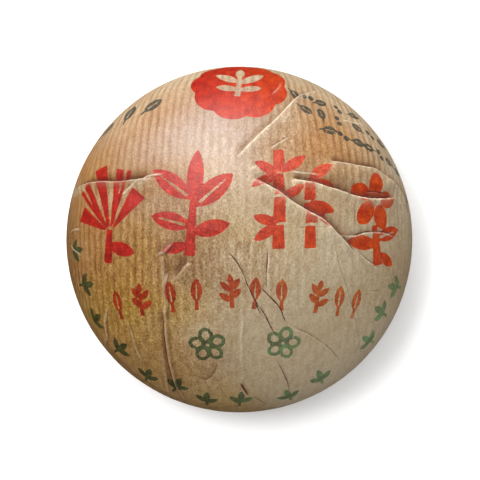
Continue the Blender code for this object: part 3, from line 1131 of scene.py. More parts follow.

# Each crease: its kind and corners, then its height and width, its valley's darkening by soiling
# and painted shade, its edge's paleness by rubbed paper and painted highlight, its lap and fade.
CREASES = (
    Crease(LAPPED, ((-52.5, 14.4), (-50, 16), (-46, 17.9), (-37, 18.5), (-31.5, 19.2),
                    (-27.5, 19.8)), 0.75, 0.8, 1.3, 0.45, 0.5, 3),
    Crease(RIDGE, ((-37, 13.6), (-34, 16.6), (-31, 19), (-27, 20.3), (-24, 20.6)),
           0.35, 0.6, 0.3, 1, fade=2),
    Crease(LAPPED, ((-0.6, 25.8), (3, 30), (8.5, 35.2), (13.5, 40), (17, 44), (20, 45.6),
                    (26, 47)), 0.6, 0.72, 0.35, 0.95, 0.6, 3),
    Crease(SWELL, ((6, 27), (12, 34), (17, 40)), 0.25, 1),
    Crease(SCORED, ((9, 44.5), (12, 47.5), (13.5, 50)), 0.15, 0.8, 0.3, 0.4),
    Crease(RIDGE, ((9.4, 28), (12, 29.6), (14, 31), (16.6, 32.4)), 0.3, 0.8, 0.6, 0.4, fade=2),
    Crease(RIDGE, ((13.8, 35.4), (14.8, 38), (16.8, 40.8)), 0.35, 1.5, 0.3, 0.35, fade=2),
    Crease(RIDGE, ((2.6, 20.6), (4, 22), (6, 23.1)), 0.2, 0.6, 0.1, 0.5, fade=2),
    Crease(LAPPED, ((4, 19.4), (8, 18), (13, 15), (20, 10), (26, 6.8), (32, 1), (36.6, -4.2)),
           1, 1.05, 1.4, 0.75, 1.2, 4),
    Crease(SCORED, ((35.6, -2.4), (38, -4.2), (41, -6.8), (45.4, -10)), 0.24, 0.8, 0.7, 0.4),
    Crease(LAPPED, ((16, 19.4), (20, 18.7), (24, 17.8), (28, 16.6), (33.5, 14.7), (39.8, 13.1),
                    (44.5, 13.1), (49.3, 13.3)), 1.05, 0.9, 1.4, 1, 1, 3),
    Crease(RIDGE, ((15.6, 21.4), (19.5, 20.9), (25.6, 20.2)), 0.3, 0.6, 0.4, 0.7, fade=2.5),
    Crease(SCORED, ((39, 15), (42.5, 14.9), (46.4, 14.2)), 0.2, 0.6, 0.9, 0.1, fade=1.5),
    Crease(SWELL, ((24, 21.5), (34, 20), (44, 18), (50, 15.4)), 0.7, 1),
    Crease(LAPPED, ((28, 25), (35, 23.6), (41.8, 22.3), (45.5, 19.9), (48.5, 17.3), (50.6, 14.6),
                    (52.8, 10.8)), 0.75, 0.95, 1.2, 1, 0.6, 2.5),
    Crease(RIDGE, ((30, 37.9), (34, 37.2), (39, 35.4), (42, 33.6)), 0.3, 0.7, 0.3, 0.9),
    Crease(RIDGE, ((49.6, 13.6), (51, 10.5), (52.5, 7), (53.4, 3)), 0.35, 0.8, 0.3, 0.8, fade=3),
    Crease(RIDGE, ((-53.4, 0.6), (-52, 2.8), (-49, 3.1)), 0.25, 0.7, 0.2, 0.7, fade=2),
    Crease(RIDGE, ((-52.9, -1.2), (-51.5, -3.2), (-49, -5.2)), 0.2, 0.7, 0.2, 0.7, fade=2),
    Crease(RIDGE, ((-20.6, -0.4), (-22, -2.5), (-24, -4.3), (-26.4, -4.8)),
           0.35, 0.9, 0.5, 0.35, fade=2),
    Crease(RIDGE, ((-24.2, -4.8), (-23.9, -10), (-23.4, -16), (-22.9, -21), (-23.5, -24.4)),
           0.45, 1.2, 0.8, 0.26, fade=2),
    Crease(PINCHED, ((-15.4, -51.8), (-17.5, -49.5), (-19.9, -45.5), (-21, -41.5), (-22.1, -36),
                     (-22.6, -31), (-23, -25), (-22.9, -21)), 0.46, 0.9, 1, 0.36, 0.5, 2.5),
    Crease(RIDGE, ((-24.4, -33), (-23.6, -40), (-22.6, -46), (-21.2, -50)),
           0.24, 1.1, 0.4, 0.25, fade=3),
    Crease(SCORED, ((-21.8, -10), (-22.8, -14.4)), 0.15, 0.7, 0.6, 0.3, fade=2),
    Crease(LAPPED, ((-20.5, -12.8), (-18.8, -10), (-16.8, -7.8), (-15.2, -6.6)),
           0.45, 1.2, 0.6, 0.22, fade=2),
    Crease(SCORED, ((-3.4, -4), (-0.9, -6.9), (1.5, -11.3), (2.5, -13.9), (5.3, -19.8),
                    (7.6, -22.9), (9.8, -27.3), (12, -31)), 0.32, 0.55, 1, 0.15, 0.4, 1.5),
    Crease(SCORED, ((4.8, -20), (6, -22.2), (6.8, -23.8)), 0.1, 0.5, 0.9, 0.2, fade=1),
    Crease(SCORED, ((10.6, -36), (13.5, -41), (15.4, -46), (15.3, -49)), 0.2, 0.6, 0.85, 0.12),
    Crease(SCORED, ((6.5, -14.9), (9.8, -18.2), (12.6, -21.4), (13.8, -24.1), (14.6, -26.2)),
           0.28, 0.5, 1, 0.15, 0.3, 1.5),
    Crease(SCORED, ((11.2, -24.8), (14.4, -25.9), (17.7, -27.7), (22.4, -29.9), (28, -34),
                    (33.8, -40.6)), 0.16, 0.6, 0.5, 0.18, 0.3, 9),
    Crease(SCORED, ((8.3, -15.8), (8.6, -8), (8.8, -2.6)), 0.22, 0.75, 0.9, 0.35, fade=2),
    Crease(LAPPED, ((31.6, 1.5), (35.8, 1.2), (39, 2.2), (42.2, 2.4), (46, 2.1), (49.9, 0.6)),
           0.28, 0.42, 0.9, 0.5, 0.4, 4),
    Crease(SCORED, ((29.4, -0.6), (31.7, -9.5), (34.5, -17.5), (37, -29), (38, -38.4)),
           0.2, 0.6, 0.42, 0.15),
    Crease(SCORED, ((43.3, -2.6), (46, -8), (48.1, -12.8), (48.4, -20.6)), 0.2, 0.6, 0.45, 0.15),
    Crease(SCORED, ((40.3, -16.4), (44.9, -16)), 0.15, 0.6, 0.6, 0.2, fade=2),
    Crease(RIDGE, ((-40.8, -19.8), (-41.6, -25), (-41, -30), (-41.8, -33), (-39.6, -35.8)),
           0.42, 1.1, 0.5, 0.55),
    Crease(RIDGE, ((-35.1, -24), (-33.5, -29), (-31.3, -35.5), (-29.8, -39.8)),
           0.26, 0.9, 0.4, 0.36),
    Crease(LAPPED, ((-16.4, -51), (-24, -47.4), (-31, -42.9), (-37.2, -37.2), (-42.6, -31)),
           0.28, 1.2, 0.8, 0.12, fade=7),
    Crease(SCORED, ((-16.8, -50.4), (-24, -47), (-30.8, -42.6), (-37, -36.9), (-41.6, -31.6)),
           0.1, 0.9, 0.8, 0.05, fade=6),
    Crease(LAPPED, ((46, 19.6), (48.6, 17.1), (50.8, 14.4), (52.9, 10.4)),
           0.25, 2, 1, 0.2, fade=1.5),
    Crease(SCORED, ((4.6, -51.6), (-0.5, -52), (-6, -52.3), (-10, -52.4), (-15.3, -51.2)),
           0.12, 1, 1, 0.1, fade=3),
    Crease(SCORED, ((0.3, -44.7), (1.4, -46.6), (3, -48.8)), 0.1, 1.2, 1, 0.1, fade=1.2),
    Crease(RIDGE, ((50.4, 14), (52.2, 9.4), (53, 5)), 0.2, 0.8, 0.4, 0.5, fade=2),
    Crease(SCORED, ((0, -44.6), (1.1, -46.5), (2.8, -49)), 0.22, 1.2, 1, 0.15, fade=1.5),
    Crease(SCORED, ((3.6, -48.4), (6, -50), (8.8, -51.9)), 0.2, 1, 0.9, 0.15, fade=2),
    Crease(RIDGE, ((0.6, -21.4), (0.8, -27), (0.5, -33), (0.6, -40.6)), 0.15, 0.9, 0.1, 0.45),
    Crease(TIDE, ((-14, -42.8), (-13, -43.3), (-11, -44), (-9.5, -43.5), (-8, -42), (-7.2, -40),
                  (-7, -38)), 0, 0.8, 0.55, 0.2, fade=2.5),
)


@dataclass(frozen=True)
class Shell:
    """The turned shell's points before they are pressed into shape, one to a row.

    along and angle are their places along the profile and round the axis, line and normal the
    profile's own points and normals, bearing their directions seen from above, places their
    places in space, seen their places in the picture, and dome is true above the widest ring.
    """

    along: Array
    angle: Array
    line: Array
    normal: Array
    bearing: Array
    places: Array
    seen: Array
    dome: Array


@dataclass
class Pleating:
    """How the paper is gathered below the widest ring: uneven pleats that swirl to a knot."""

    profile: WrapperProfile = field(default_factory=WrapperProfile)
    pleats: int = 24
    steps: int = 12
    depth: float = 0.0016
    groove: float = 0.0009
    knot_depth: float = 0.0010
    unevenness: float = 0.28
    seed: int = 7
    hollow_twist: float = math.radians(38)
    knot_twist: float = math.radians(75)
    knot_lean: Pair = (0.0016, -0.0011)
    crest_start: float = 0.75
    crest_end: float = 0.917
    deepening: float = 1.9
    loosening: float = 1.5
    flat_from: float = 0.55
    flat_over: float = 0.45
    valley_width: float = 0.42
    wrinkle: float = 0.00028

    def __post_init__(self) -> None:
        """Draw the uneven pleat widths and depths."""
        widths, self.depths = (
            np.array([1 + self.unevenness * draw.uniform(-1, 1) for _ in range(self.pleats)])
            for draw in (random.Random(self.seed), random.Random(self.seed + 1))
        )
        self.starts = np.concatenate([[0.0], np.cumsum(widths)]) * 2 * math.pi / widths.sum()

    def phases(self, angle: Array) -> tuple[Array, Array]:
        """Find the pleat that each point is in.

        Args:
            angle: Angles round the axis, before the pleats are made uneven.

        Returns:
            The pleat's number, and how far through it the point lies, from 0 to 1.
        """
        turns = (angle / (2 * math.pi)) % 1.0 * self.pleats
        pleat = np.minimum(np.floor(turns + 1e-6).astype(int), self.pleats - 1)
        return pleat, np.clip(turns - pleat, 0.0, 1.0)

    def strength(self, along: Array) -> tuple[Array, Array]:
        """How the pleats grow and flatten along the profile.

        Args:
            along: Distances along the profile.

        Returns:
            How deep the pleats are and how flat they lie, both from 0 to 1.
        """
        stretches = (Stretch.SKIRT, Stretch.LIP, Stretch.TIP)
        skirt, lip, tip = (self.profile.place_in(along, stretch) for stretch in stretches)
        depth = ease(skirt * self.deepening) * (1 - ease(tip))
        return depth, ease((skirt - self.flat_from) / self.flat_over) * (1 - ease(lip))

    def depth_at(self, shell: Shell) -> Array:
        """How far each point lies below the pleats' crests.

        Args:
            shell: The shell's points.

        Returns:
            Depths in metres.
        """
        pleat, inside = self.phases(shell.angle)
        rise = 1.0 - np.clip(inside / self.crest_start, 0.0, 1.0)
        drop = np.clip((inside - self.crest_end) / (1.0 - self.crest_end), 0.0, 1.0)
        lapped = np.maximum(rise, drop) * self.depth
        nick = np.maximum(1.0 - inside * self.steps, 1.0 - (1.0 - inside) * self.steps)
        pressed = np.clip(nick, 0.0, 1.0) * self.groove
        last_third = self.profile.place_in(shell.along, Stretch.HOLLOW) * 3 - 2
        lapped *= 1 + (self.knot_depth / self.depth - 1) * ease(last_third)
        strength, flatness = self.strength(shell.along)
        return strength * self.depths[pleat] * (lapped + (pressed - lapped) * flatness)

    def turned(self, shell: Shell) -> Array:
        """The angles where the points end up once the pleats are uneven and swirled.

        Args:
            shell: The shell's points.

        Returns:
            The new angles.
        """
        pleat, inside = self.phases(shell.angle)
        stretches = (Stretch.SKIRT, Stretch.HOLLOW, Stretch.KNOT)
        skirt, hollow, knot = (self.profile.place_in(shell.along, part) for part in stretches)
        uneven = self.starts[pleat] + (self.starts[pleat + 1] - self.starts[pleat]) * inside
        twist = self.hollow_twist * ease(hollow) + self.knot_twist * knot
        even = shell.angle % (2 * math.pi)
        return even + (uneven - even) * ease(skirt * self.loosening) + twist

    def valley(self, shell: Shell) -> Array:
        """How deep in a pleat's valley each point lies.

        Args:
            shell: The shell's points.

        Returns:
            Strengths from 0 to 1.
        """
        _, inside = self.phases(shell.angle)
        gap = np.minimum(inside, 1.0 - inside) * self.pleats / 6
        return bell(gap, self.valley_width) * self.strength(shell.along)[0]


@dataclass
class PaperWrapper:
    """The sheet of printed kraft paper, turned, creased and gathered round the cake.

    Its sizes are in metres, but for the mesh's edges, which are in millimetres. crease_edges and
    the print's edges are pairs: a distance from a crease or an ink's edge, and how long the
    mesh's edges may be there.
    """

    profile: WrapperProfile = field(default_factory=WrapperProfile)
    view: ViewPlane = field(default_factory=ViewPlane)
    pleating: Pleating = field(default_factory=Pleating)
    printing: PaperPrint = field(default_factory=PaperPrint)
    creases: tuple[Crease, ...] = CREASES
    patches: dict[Tint, tuple[Patch, ...]] = field(default_factory=PATCHES.copy)
    wave_height: float = 0.00022
    waves: tuple[Triple, ...] = ((95, 40, 0.3), (-60, 110, 1.9), (150, -70, 4.1))
    wave_fade: float = 0.004
    crease_fade: float = 0.0022
    crumple: float = 0.00009
    crumple_scale: float = 170
    facet: float = 0.00007
    facet_scale: float = 95
    facet_bend: float = 0.25
    facet_edge: float = 0.16
    # How much the pleats' valleys are darkened, by soiling and painted shade.
    valley_dirt_and_shade: float = 0.75
    gathered_over: float = 0.02
    weld: float = 0.000001
    splits: int = 3
    split_past: float = 1.25
    shortest_edge: float = 0.3
    longest_edge: float = 9.0
    crease_edges: tuple[Pair, ...] = ((2.4, 0.70), (1.2, 0.31))
    big_print_edges: Pair = (0.5, 0.55)
    small_print_edges: Pair = (0.42, 0.42)
    edge_angle: float = math.radians(48)

    def build(self, finish: bpy.types.Material) -> bpy.types.Object:
        """Model the wrapper and dress it.

        Args:
            finish: The paper's material.

        Returns:
            The finished piece.
        """
        sheet = self._turn_outline()
        for _ in range(self.splits):
            self._split_long_edges(sheet)
        self._press(sheet, self._shell(sheet))
        sheet.data.materials.append(finish)
        self._smooth(sheet)
        return sheet

    def _turn_outline(self) -> bpy.types.Object:
        """Spin the profile round the Z axis.

        Returns:
            A closed shell.
        """
        stations = self.profile.stations()
        bpy.ops.object.select_all(action="DESELECT")
        count = len(stations)
        bpy.ops.mesh.primitive_circle_add(vertices=count, radius=RADIUS, fill_type="NOTHING")
        sheet = bpy.context.object
        sheet.name = "paper_wrapper"
        outline = sheet.data
        points, _ = self.profile.at(stations)
        places = np.zeros((count, 3))
        places[:, 0], places[:, 2] = points[:, 0], points[:, 1]
        outline.vertices.foreach_set("co", places.ravel())
        outline.attributes.new("along", "FLOAT", "POINT").data.foreach_set("value", stations)
        last = count - 1
        for edge in outline.edges:
            edge.select = {edge.vertices[0], edge.vertices[1]} == {0, last}
        for vertex in outline.vertices:
            vertex.select = vertex.index in (0, last)
        bpy.context.tool_settings.mesh_select_mode = (False, True, False)
        bpy.ops.object.mode_set(mode="EDIT")
        bpy.ops.mesh.delete(type="EDGE")
        bpy.ops.mesh.select_all(action="SELECT")
        steps = self.pleating.pleats * self.pleating.steps
        bpy.ops.mesh.spin(steps=steps, angle=2 * math.pi, center=(0, 0, 0), axis=(0, 0, 1))
        bpy.ops.mesh.select_all(action="SELECT")
        bpy.ops.mesh.remove_doubles(threshold=self.weld)
        bpy.ops.mesh.normals_make_consistent(inside=False)
        bpy.ops.object.mode_set(mode="OBJECT")
        return sheet

    def _shell(self, sheet: bpy.types.Object) -> Shell:
        """Read where the shell's points lie on the profile and in the picture.

        Args:
            sheet: The shell, already cut fine.

        Returns:
            The points.
        """
        along = read(sheet.data.attributes["along"].data, "value", 1, float)
        places = read(sheet.data.vertices, "co", 3, float)
        angle = np.arctan2(places[:, 1], places[:, 0]) % (2 * math.pi)
        line, normal = self.profile.at(along)
        bearing = np.stack([np.cos(angle), np.sin(angle)], axis=1)
        places = np.column_stack([line[:, :1] * bearing, line[:, 1]])
        dome = along < self.profile.start_of(Stretch.SKIRT) - 1e-7
        return Shell(along, angle, line, normal, bearing, places, self.view.seen(places), dome)

    def _edge_lengths_wanted(self, places: Array) -> Array:
        """How long the mesh's edges may be, in millimetres: shorter next to creases and print.

        Args:
            places: Points of the dome, one to a row.

        Returns:
            A length for each point.
        """
        across = np.maximum(np.hypot(places[:, 0], places[:, 1]), 1e-6)
        along = self.profile.along_at_radius(across)
        paper = places[:, :2] * (along / across)[:, None] / MM
        layers = self.printing.layers(paper, self.view)
        nearness = CreaseField.over(self.view.seen(places), self.creases).nearness
        wanted = np.full(len(places), self.longest_edge)
        for distance, length in self.crease_edges:
            wanted[nearness < distance] = length
        distance, length = self.big_print_edges
        wanted[np.abs(layers[Ink.RED]) < distance] = length
        distance, length = self.small_print_edges
        for ink in (Ink.ROW, Ink.GREEN, Ink.BLACK):
            near = np.abs(layers[ink]) < distance
            wanted = np.where(near, np.minimum(wanted, length), wanted)
        return wanted

    def _split_long_edges(self, sheet: bpy.types.Object) -> None:
        """Halve every edge of the dome that is longer than is wanted there.

        Args:
            sheet: The shell.
        """
        mesh = sheet.data
        ends = read(mesh.edges, "vertices", 2, int)
        places = read(mesh.vertices, "co", 3, float)
        first, second = places[ends[:, 0]], places[ends[:, 1]]
        middles = (first + second) / 2
        lengths = np.linalg.norm(first - second, axis=1) / MM
        above = middles[:, 2] > self.profile.widest_z
        dome = np.flatnonzero(above & (lengths > self.shortest_edge))
        chosen = np.zeros(len(ends), bool)
        chosen[dome] = lengths[dome] > self.split_past * self._edge_lengths_wanted(middles[dome])
        bpy.context.tool_settings.mesh_select_mode = (False, True, False)
        bpy.ops.object.mode_set(mode="EDIT")
        bpy.ops.mesh.select_all(action="DESELECT")
        bpy.ops.object.mode_set(mode="OBJECT")
        touched = np.zeros(len(places), bool)
        touched[ends[chosen].ravel()] = True
        mesh.vertices.foreach_set("select", touched)
        mesh.edges.foreach_set("select", chosen)
        bpy.ops.object.mode_set(mode="EDIT")
        bpy.ops.mesh.subdivide(number_cuts=1, ngon=False)
        bpy.ops.object.mode_set(mode="OBJECT")

    def _crumpled(self, places: Array) -> Array:
        """Small uneven dents and faint flat facets of handled paper.

        Args:
            places: Points in space, one to a row.

        Returns:
            Heights in metres.
        """
        made = np.empty(len(places))
        for index, place in enumerate(places):
            spot = Vector(place)
            soft = noise.fractal(spot * self.crumple_scale, 0.9, 2.1, 3)
            bend = Vector((soft, 0.0, 0.0)) * self.facet_bend
            gaps, _ = noise.voronoi(spot * self.facet_scale + bend)
            ridge = max(0.0, 1.0 - (gaps[1] - gaps[0]) / self.facet_edge)
            made[index] = self.crumple * soft + self.facet * ridge * ridge
        return made

    def _relief(self, shell: Shell, creased: Array) -> Array:
        """How far the paper rises over its turned profile.

        Args:
            shell: The shell's points.
            creased: The height of the creases at each point.

        Returns:
            Heights in metres.
        """
        inward = self.profile.radius - shell.line[:, 0]
        x, y, _ = shell.places.T
        wave = sum(np.sin(a * x + b * y + c) for a, b, c in self.waves)
        crumpled = self._crumpled(shell.places)
        height = creased * ease(inward / self.crease_fade)
        height += self.wave_height * wave * ease(inward / self.wave_fade)
        height += crumpled * np.where(shell.dome, ease(inward / self.crease_fade) * 0.7 + 0.3, 0.0)
        height = np.where(shell.dome, height, 0.0)
        along, angle = shell.along, shell.angle
        loose, flatness = self.pleating.strength(along)
        height -= self.pleating.depth_at(shell)
        streaks = np.sin(angle * 131 + along * 900) + np.sin(angle * 83 - along * 500 + 1.3)
        wrinkles = self.pleating.wrinkle * (0.5 * streaks - 1.0)
        wrinkles = np.minimum(wrinkles + 2.0 * crumpled - 2.0 * self.facet, 0.0)
        return height + np.where(shell.dome, 0.0, wrinkles * loose * (1 - flatness))

    def _press(self, sheet: bpy.types.Object, shell: Shell) -> None:
        """Move every point to its place on the creased and gathered paper, and mark the paper.

        Args:
            sheet: The shell, already cut fine.
            shell: Its points.
        """
        out_of_sight = 999.0
        on_dome = np.where(shell.dome[:, None], shell.seen, out_of_sight)
        creased = CreaseField.over(on_dome, self.creases)
        height = self._relief(shell, creased.height)
        turned = np.where(shell.dome, shell.angle, self.pleating.turned(shell))
        across = shell.line[:, 0] + shell.normal[:, 0] * height
        up = shell.line[:, 1] + shell.normal[:, 1] * height
        drop = (self.profile.ceiling_z - up) / (self.profile.ceiling_z - self.profile.knot_tip_z)
        knot = shell.along > self.profile.start_of(Stretch.KNOT)
        lean = np.where(knot, ease(drop), 0.0)
        final = np.stack([
            across * np.cos(turned) + self.pleating.knot_lean[0] * lean,
            across * np.sin(turned) + self.pleating.knot_lean[1] * lean,
            up,
        ], axis=1)
        sheet.data.vertices.foreach_set("co", final.ravel())
        self._mark(sheet, shell, creased)

    def _mark(self, sheet: bpy.types.Object, shell: Shell, creased: CreaseField) -> None:
        """Keep on the mesh what the finish reads: soiling and painted shade, rubbed paper and
        painted highlight, fold lines, tones and inks.

        Args:
            sheet: The pressed paper.
            shell: Its points before they were pressed.
            creased: What the creases do to them.
        """
        valley = self.pleating.valley(shell)
        past_widest = shell.along - self.profile.start_of(Stretch.SKIRT)
        notes = {
            # The folds' and the pleats' valleys are darkened by soiling and painted shade.
            "grime": np.clip(creased.grime + self.valley_dirt_and_shade * valley, 0, 1),
            "wear": creased.wear,
            "gathered": ease(past_widest / self.gathered_over),
            "fold_side": creased.side,
            "fold_edge": creased.edge,
            "fold_dark": creased.dark,
            "fold_pale": creased.pale,
        }
        for tint in Tint:
            strengths = [patch.strength_at(shell.seen) for patch in self.patches[tint]]
            notes[tint.value] = np.clip(np.sum(strengths, axis=0), 0, 1)
        flat = shell.along[:, None] * shell.bearing / MM + creased.shift
        for ink, distance in self.printing.layers(flat, self.view).items():
            notes[ink.value] = np.where(shell.dome, distance, FAR_FROM_INK)
        for name, values in notes.items():
            note = sheet.data.attributes.new(name, "FLOAT", "POINT")
            note.data.foreach_set("value", values.astype(np.float32))
        self._lay_paper(sheet, flat)

    def _lay_paper(self, sheet: bpy.types.Object, flat: Array) -> None:
        """Give the sheet its UV map: each point's place on the paper laid flat.

        Args:
            sheet: The pressed paper.
            flat: The points' places on the flat paper, in millimetres.
        """
        corners = read(sheet.data.loops, "vertex_index", 1, int)
        layer = sheet.data.uv_layers.new(name="paper")
        places = 0.5 + flat[corners] * MM / PAPER_SPAN
        layer.data.foreach_set("uv", places.ravel())

    def _smooth(self, sheet: bpy.types.Object) -> None:
        """Shade the sheet smooth, but for its sharp edges.

        Args:
            sheet: The pressed paper.
        """
        bpy.ops.object.select_all(action="DESELECT")
        sheet.select_set(True)
        bpy.context.view_layer.objects.active = sheet
        bpy.ops.object.shade_smooth_by_angle(angle=self.edge_angle)


Socket = bpy.types.NodeSocket
Outputs = bpy.types.NodeOutputs
Value = Socket | float


@dataclass
class NodeBench:
    """Places shader nodes in one tree and joins them."""

    tree: bpy.types.NodeTree

    def put(self, kind: str, inputs: dict, **settings: object) -> bpy.types.Node:
        """Place a node.

        Args:
            kind: The node's type.
            inputs: What each input gets: a socket to join, or a plain value.
            settings: The node's own settings.

        Returns:
            The node.
        """
        node = self.tree.nodes.new(kind)
        for name, value in settings.items():
            setattr(node, name, value)
        for key, value in inputs.items():
            if isinstance(value, bpy.types.NodeSocket):
                self.tree.links.new(value, node.inputs[key])
            else:
                node.inputs[key].default_value = value
        return node

    def math(self, operation: str, *values: Value, bounded: bool = False) -> Socket:
        """Work out a value.

        Args:
            operation: The Math node's operation.
            values: One to three values.
            bounded: True to keep the result from 0 to 1.

        Returns:
            The result.
        """
        node = self.put("ShaderNodeMath", dict(enumerate(values)), operation=operation)
        node.use_clamp = bounded
        return node.outputs[0]

    def times(self, first: Value, second: Value, bounded: bool = False) -> Socket:
        """Two values multiplied."""
        return self.math("MULTIPLY", first, second, bounded=bounded)

    def line(self, value: Value, slope: Value, start: Value) -> Socket:
        """A value times a slope, plus a start."""
        return self.math("MULTIPLY_ADD", value, slope, start)

    def over(self, value: Value, low: float, high: float) -> Socket:
        """A smooth step from 0 at low to 1 at high, which may be the lower number."""
        inputs = {"Value": value, "From Min": low, "From Max": high}
        return self.put("ShaderNodeMapRange", inputs, interpolation_type="SMOOTHSTEP").outputs[0]

    def mix(self, share: Value, first: object, second: object, blend: str = "MIX") -> Socket:
        """Mix two colours.

        Args:
            share: How much of the second colour comes in, from 0 to 1.
            first: The first colour.
            second: The second colour.
            blend: How they are mixed.

        Returns:
            The mixed colour.
        """
        first = (*first, 1.0) if isinstance(first, tuple) else first
        second = (*second, 1.0) if isinstance(second, tuple) else second
        inputs = {0: share, 6: first, 7: second}
        node = self.put("ShaderNodeMix", inputs, data_type="RGBA", blend_type=blend)
        return node.outputs[2]

    def scaled(self, place: Socket, across: float, down: float) -> Socket:
        """A place stretched across and down."""
        inputs = {0: place, 1: (across, down, 1.0)}
        return self.put("ShaderNodeVectorMath", inputs, operation="MULTIPLY").outputs[0]

    def noise(self, place: Socket, size: float, detail: float = 2.0, rough: float = 0.5) -> Socket:
        """Soft noise whose spots are size units wide, from 0 to 1."""
        inputs = {"Vector": place, "Scale": 1.0 / size, "Detail": detail, "Roughness": rough}
        return self.put("ShaderNodeTexNoise", inputs).outputs[0]

    def note(self, name: str) -> Socket:
        """A value kept at the mesh's points."""
        node = self.put("ShaderNodeAttribute", {}, attribute_name=name, attribute_type="GEOMETRY")
        return node.outputs["Fac"]


@dataclass(frozen=True)
class Effect:
    """A surface effect kept as a node group, built once.

    Its inputs are a Place and the values named here, and its outputs are values.
    """

    name: str
    inputs: tuple[str, ...]
    outputs: tuple[str, ...]

    def draw(self, bench: NodeBench, given: Outputs) -> dict[str, Socket]:
        """Place the effect's nodes and give what comes out by name."""
        raise NotImplementedError

    def tree(self) -> bpy.types.NodeTree:
        """Build the effect's node group on first use.

        Returns:
            The group.
        """
        if self.name in bpy.data.node_groups:
            return bpy.data.node_groups[self.name]
        tree = bpy.data.node_groups.new(self.name, "ShaderNodeTree")
        add = tree.interface.new_socket
        add(name="Place", in_out="INPUT", socket_type="NodeSocketVector")
        for way, labels in (("INPUT", self.inputs), ("OUTPUT", self.outputs)):
            for label in labels:
                add(name=label, in_out=way, socket_type="NodeSocketFloat")
        bench = NodeBench(tree)
        given = bench.put("NodeGroupInput", {}).outputs
        bench.put("NodeGroupOutput", self.draw(bench, given))
        return tree

    def place(self, bench: NodeBench, inputs: dict[str, object]) -> Outputs:
        """Place the effect in a material, and give its outputs."""
        return bench.put("ShaderNodeGroup", inputs, node_tree=self.tree()).outputs


@dataclass(frozen=True)
class PaperRibs(Effect):
    """The kraft paper's ribs: wavering dark lines, broken into streaks. Sizes in millimetres."""

    name: str = "paper_ribs"
    inputs: tuple[str, ...] = ("Gathered", "Clear")
    outputs: tuple[str, ...] = ("Streak", "Height")
    pitch: float = 2.7
    bend: float = 1.6
    bend_size: float = 11.0
    streak_size: float = 0.55
    patch_size: float = 7.0
    pressed_flat: float = 0.8

    def draw(self, bench: NodeBench, given: Outputs) -> dict[str, Socket]:
        """A cosine across the paper, bent and broken by long thin noise.

        Args:
            bench: Where the nodes go.
            given: The effect's inputs by name.

        Returns:
            Its outputs by name.
        """
        place = given["Place"]
        bend = bench.noise(bench.scaled(place, 1.0, 0.35), self.bend_size, 1.0)
        across = bench.put("ShaderNodeSeparateXYZ", {0: place}).outputs[0]
        moved = bench.line(bend, self.bend, across)
        wave = bench.math("COSINE", bench.times(moved, 2 * math.pi / self.pitch))
        ridge = bench.line(wave, 0.5, 0.5)
        long_streaks = bench.noise(bench.scaled(place, 1.0, 0.22), self.streak_size, 3.0, 0.65)
        patches = bench.noise(bench.scaled(place, 1.0, 0.6), self.patch_size, 2.0)
        lined = bench.line(long_streaks, 1.1, bench.times(ridge, 0.75))
        kept = bench.line(bench.over(patches, 0.3, 0.7), 0.6, 0.6)
        streak = bench.times(bench.over(lined, 0.62, 1.55), kept)
        left = bench.line(given["Gathered"], -self.pressed_flat, 1.0)
        left = bench.times(left, given["Clear"])
        streak, height = (bench.times(part, left) for part in (streak, ridge))
        return {"Streak": streak, "Height": height}


@dataclass(frozen=True)
class PaperFibre(Effect):
    """The paper's fine mottle of fibres, small blotches, soft clouds and a few dark flecks."""

    name: str = "paper_fibre"
    inputs: tuple[str, ...] = ()
    outputs: tuple[str, ...] = ("Mottle", "Blotch", "Cloud", "Fleck", "Smudge")
    mottle_size: float = 0.66
    blotch_size: float = 1.9
    cloud_size: float = 7.0
    smudge_size: float = 2.1
    flecks_per_mm: float = 0.30
    fleck_edge: Pair = (0.13, 0.08)

    def draw(self, bench: NodeBench, given: Outputs) -> dict[str, Socket]:
        """Noise at four sizes, and scattered cells for the flecks.

        Args:
            bench: Where the nodes go.
            given: The effect's inputs by name.

        Returns:
            Its outputs by name.
        """
        place = given["Place"]
        fine = bench.noise(bench.scaled(place, 1.0, 0.8), self.mottle_size, 2.0, 0.80)
        blotch = bench.noise(bench.scaled(place, 1.0, 0.5), self.blotch_size, 4.0, 0.7)
        cloud = bench.noise(place, self.cloud_size, 3.0, 0.55)
        scattered = {"Vector": place, "Scale": self.flecks_per_mm, "Randomness": 1.0}
        cells = bench.put("ShaderNodeTexVoronoi", scattered)
        spot = bench.line(fine, 0.08, cells.outputs["Distance"])
        rare = bench.put("ShaderNodeSeparateColor", {0: cells.outputs["Color"]}).outputs[0]
        fleck = bench.times(bench.over(spot, *self.fleck_edge), bench.over(rare, 0.52, 0.62))
        blotch = bench.over(blotch, 0.36, 0.66)
        smudge = bench.noise(bench.scaled(place, 1.0, 0.38), self.smudge_size, 4.0, 0.75)
        return {
            "Mottle": bench.over(fine, 0.30, 0.70), "Blotch": blotch, "Cloud": cloud,
            "Fleck": fleck, "Smudge": bench.over(smudge, 0.50, 0.66),
        }


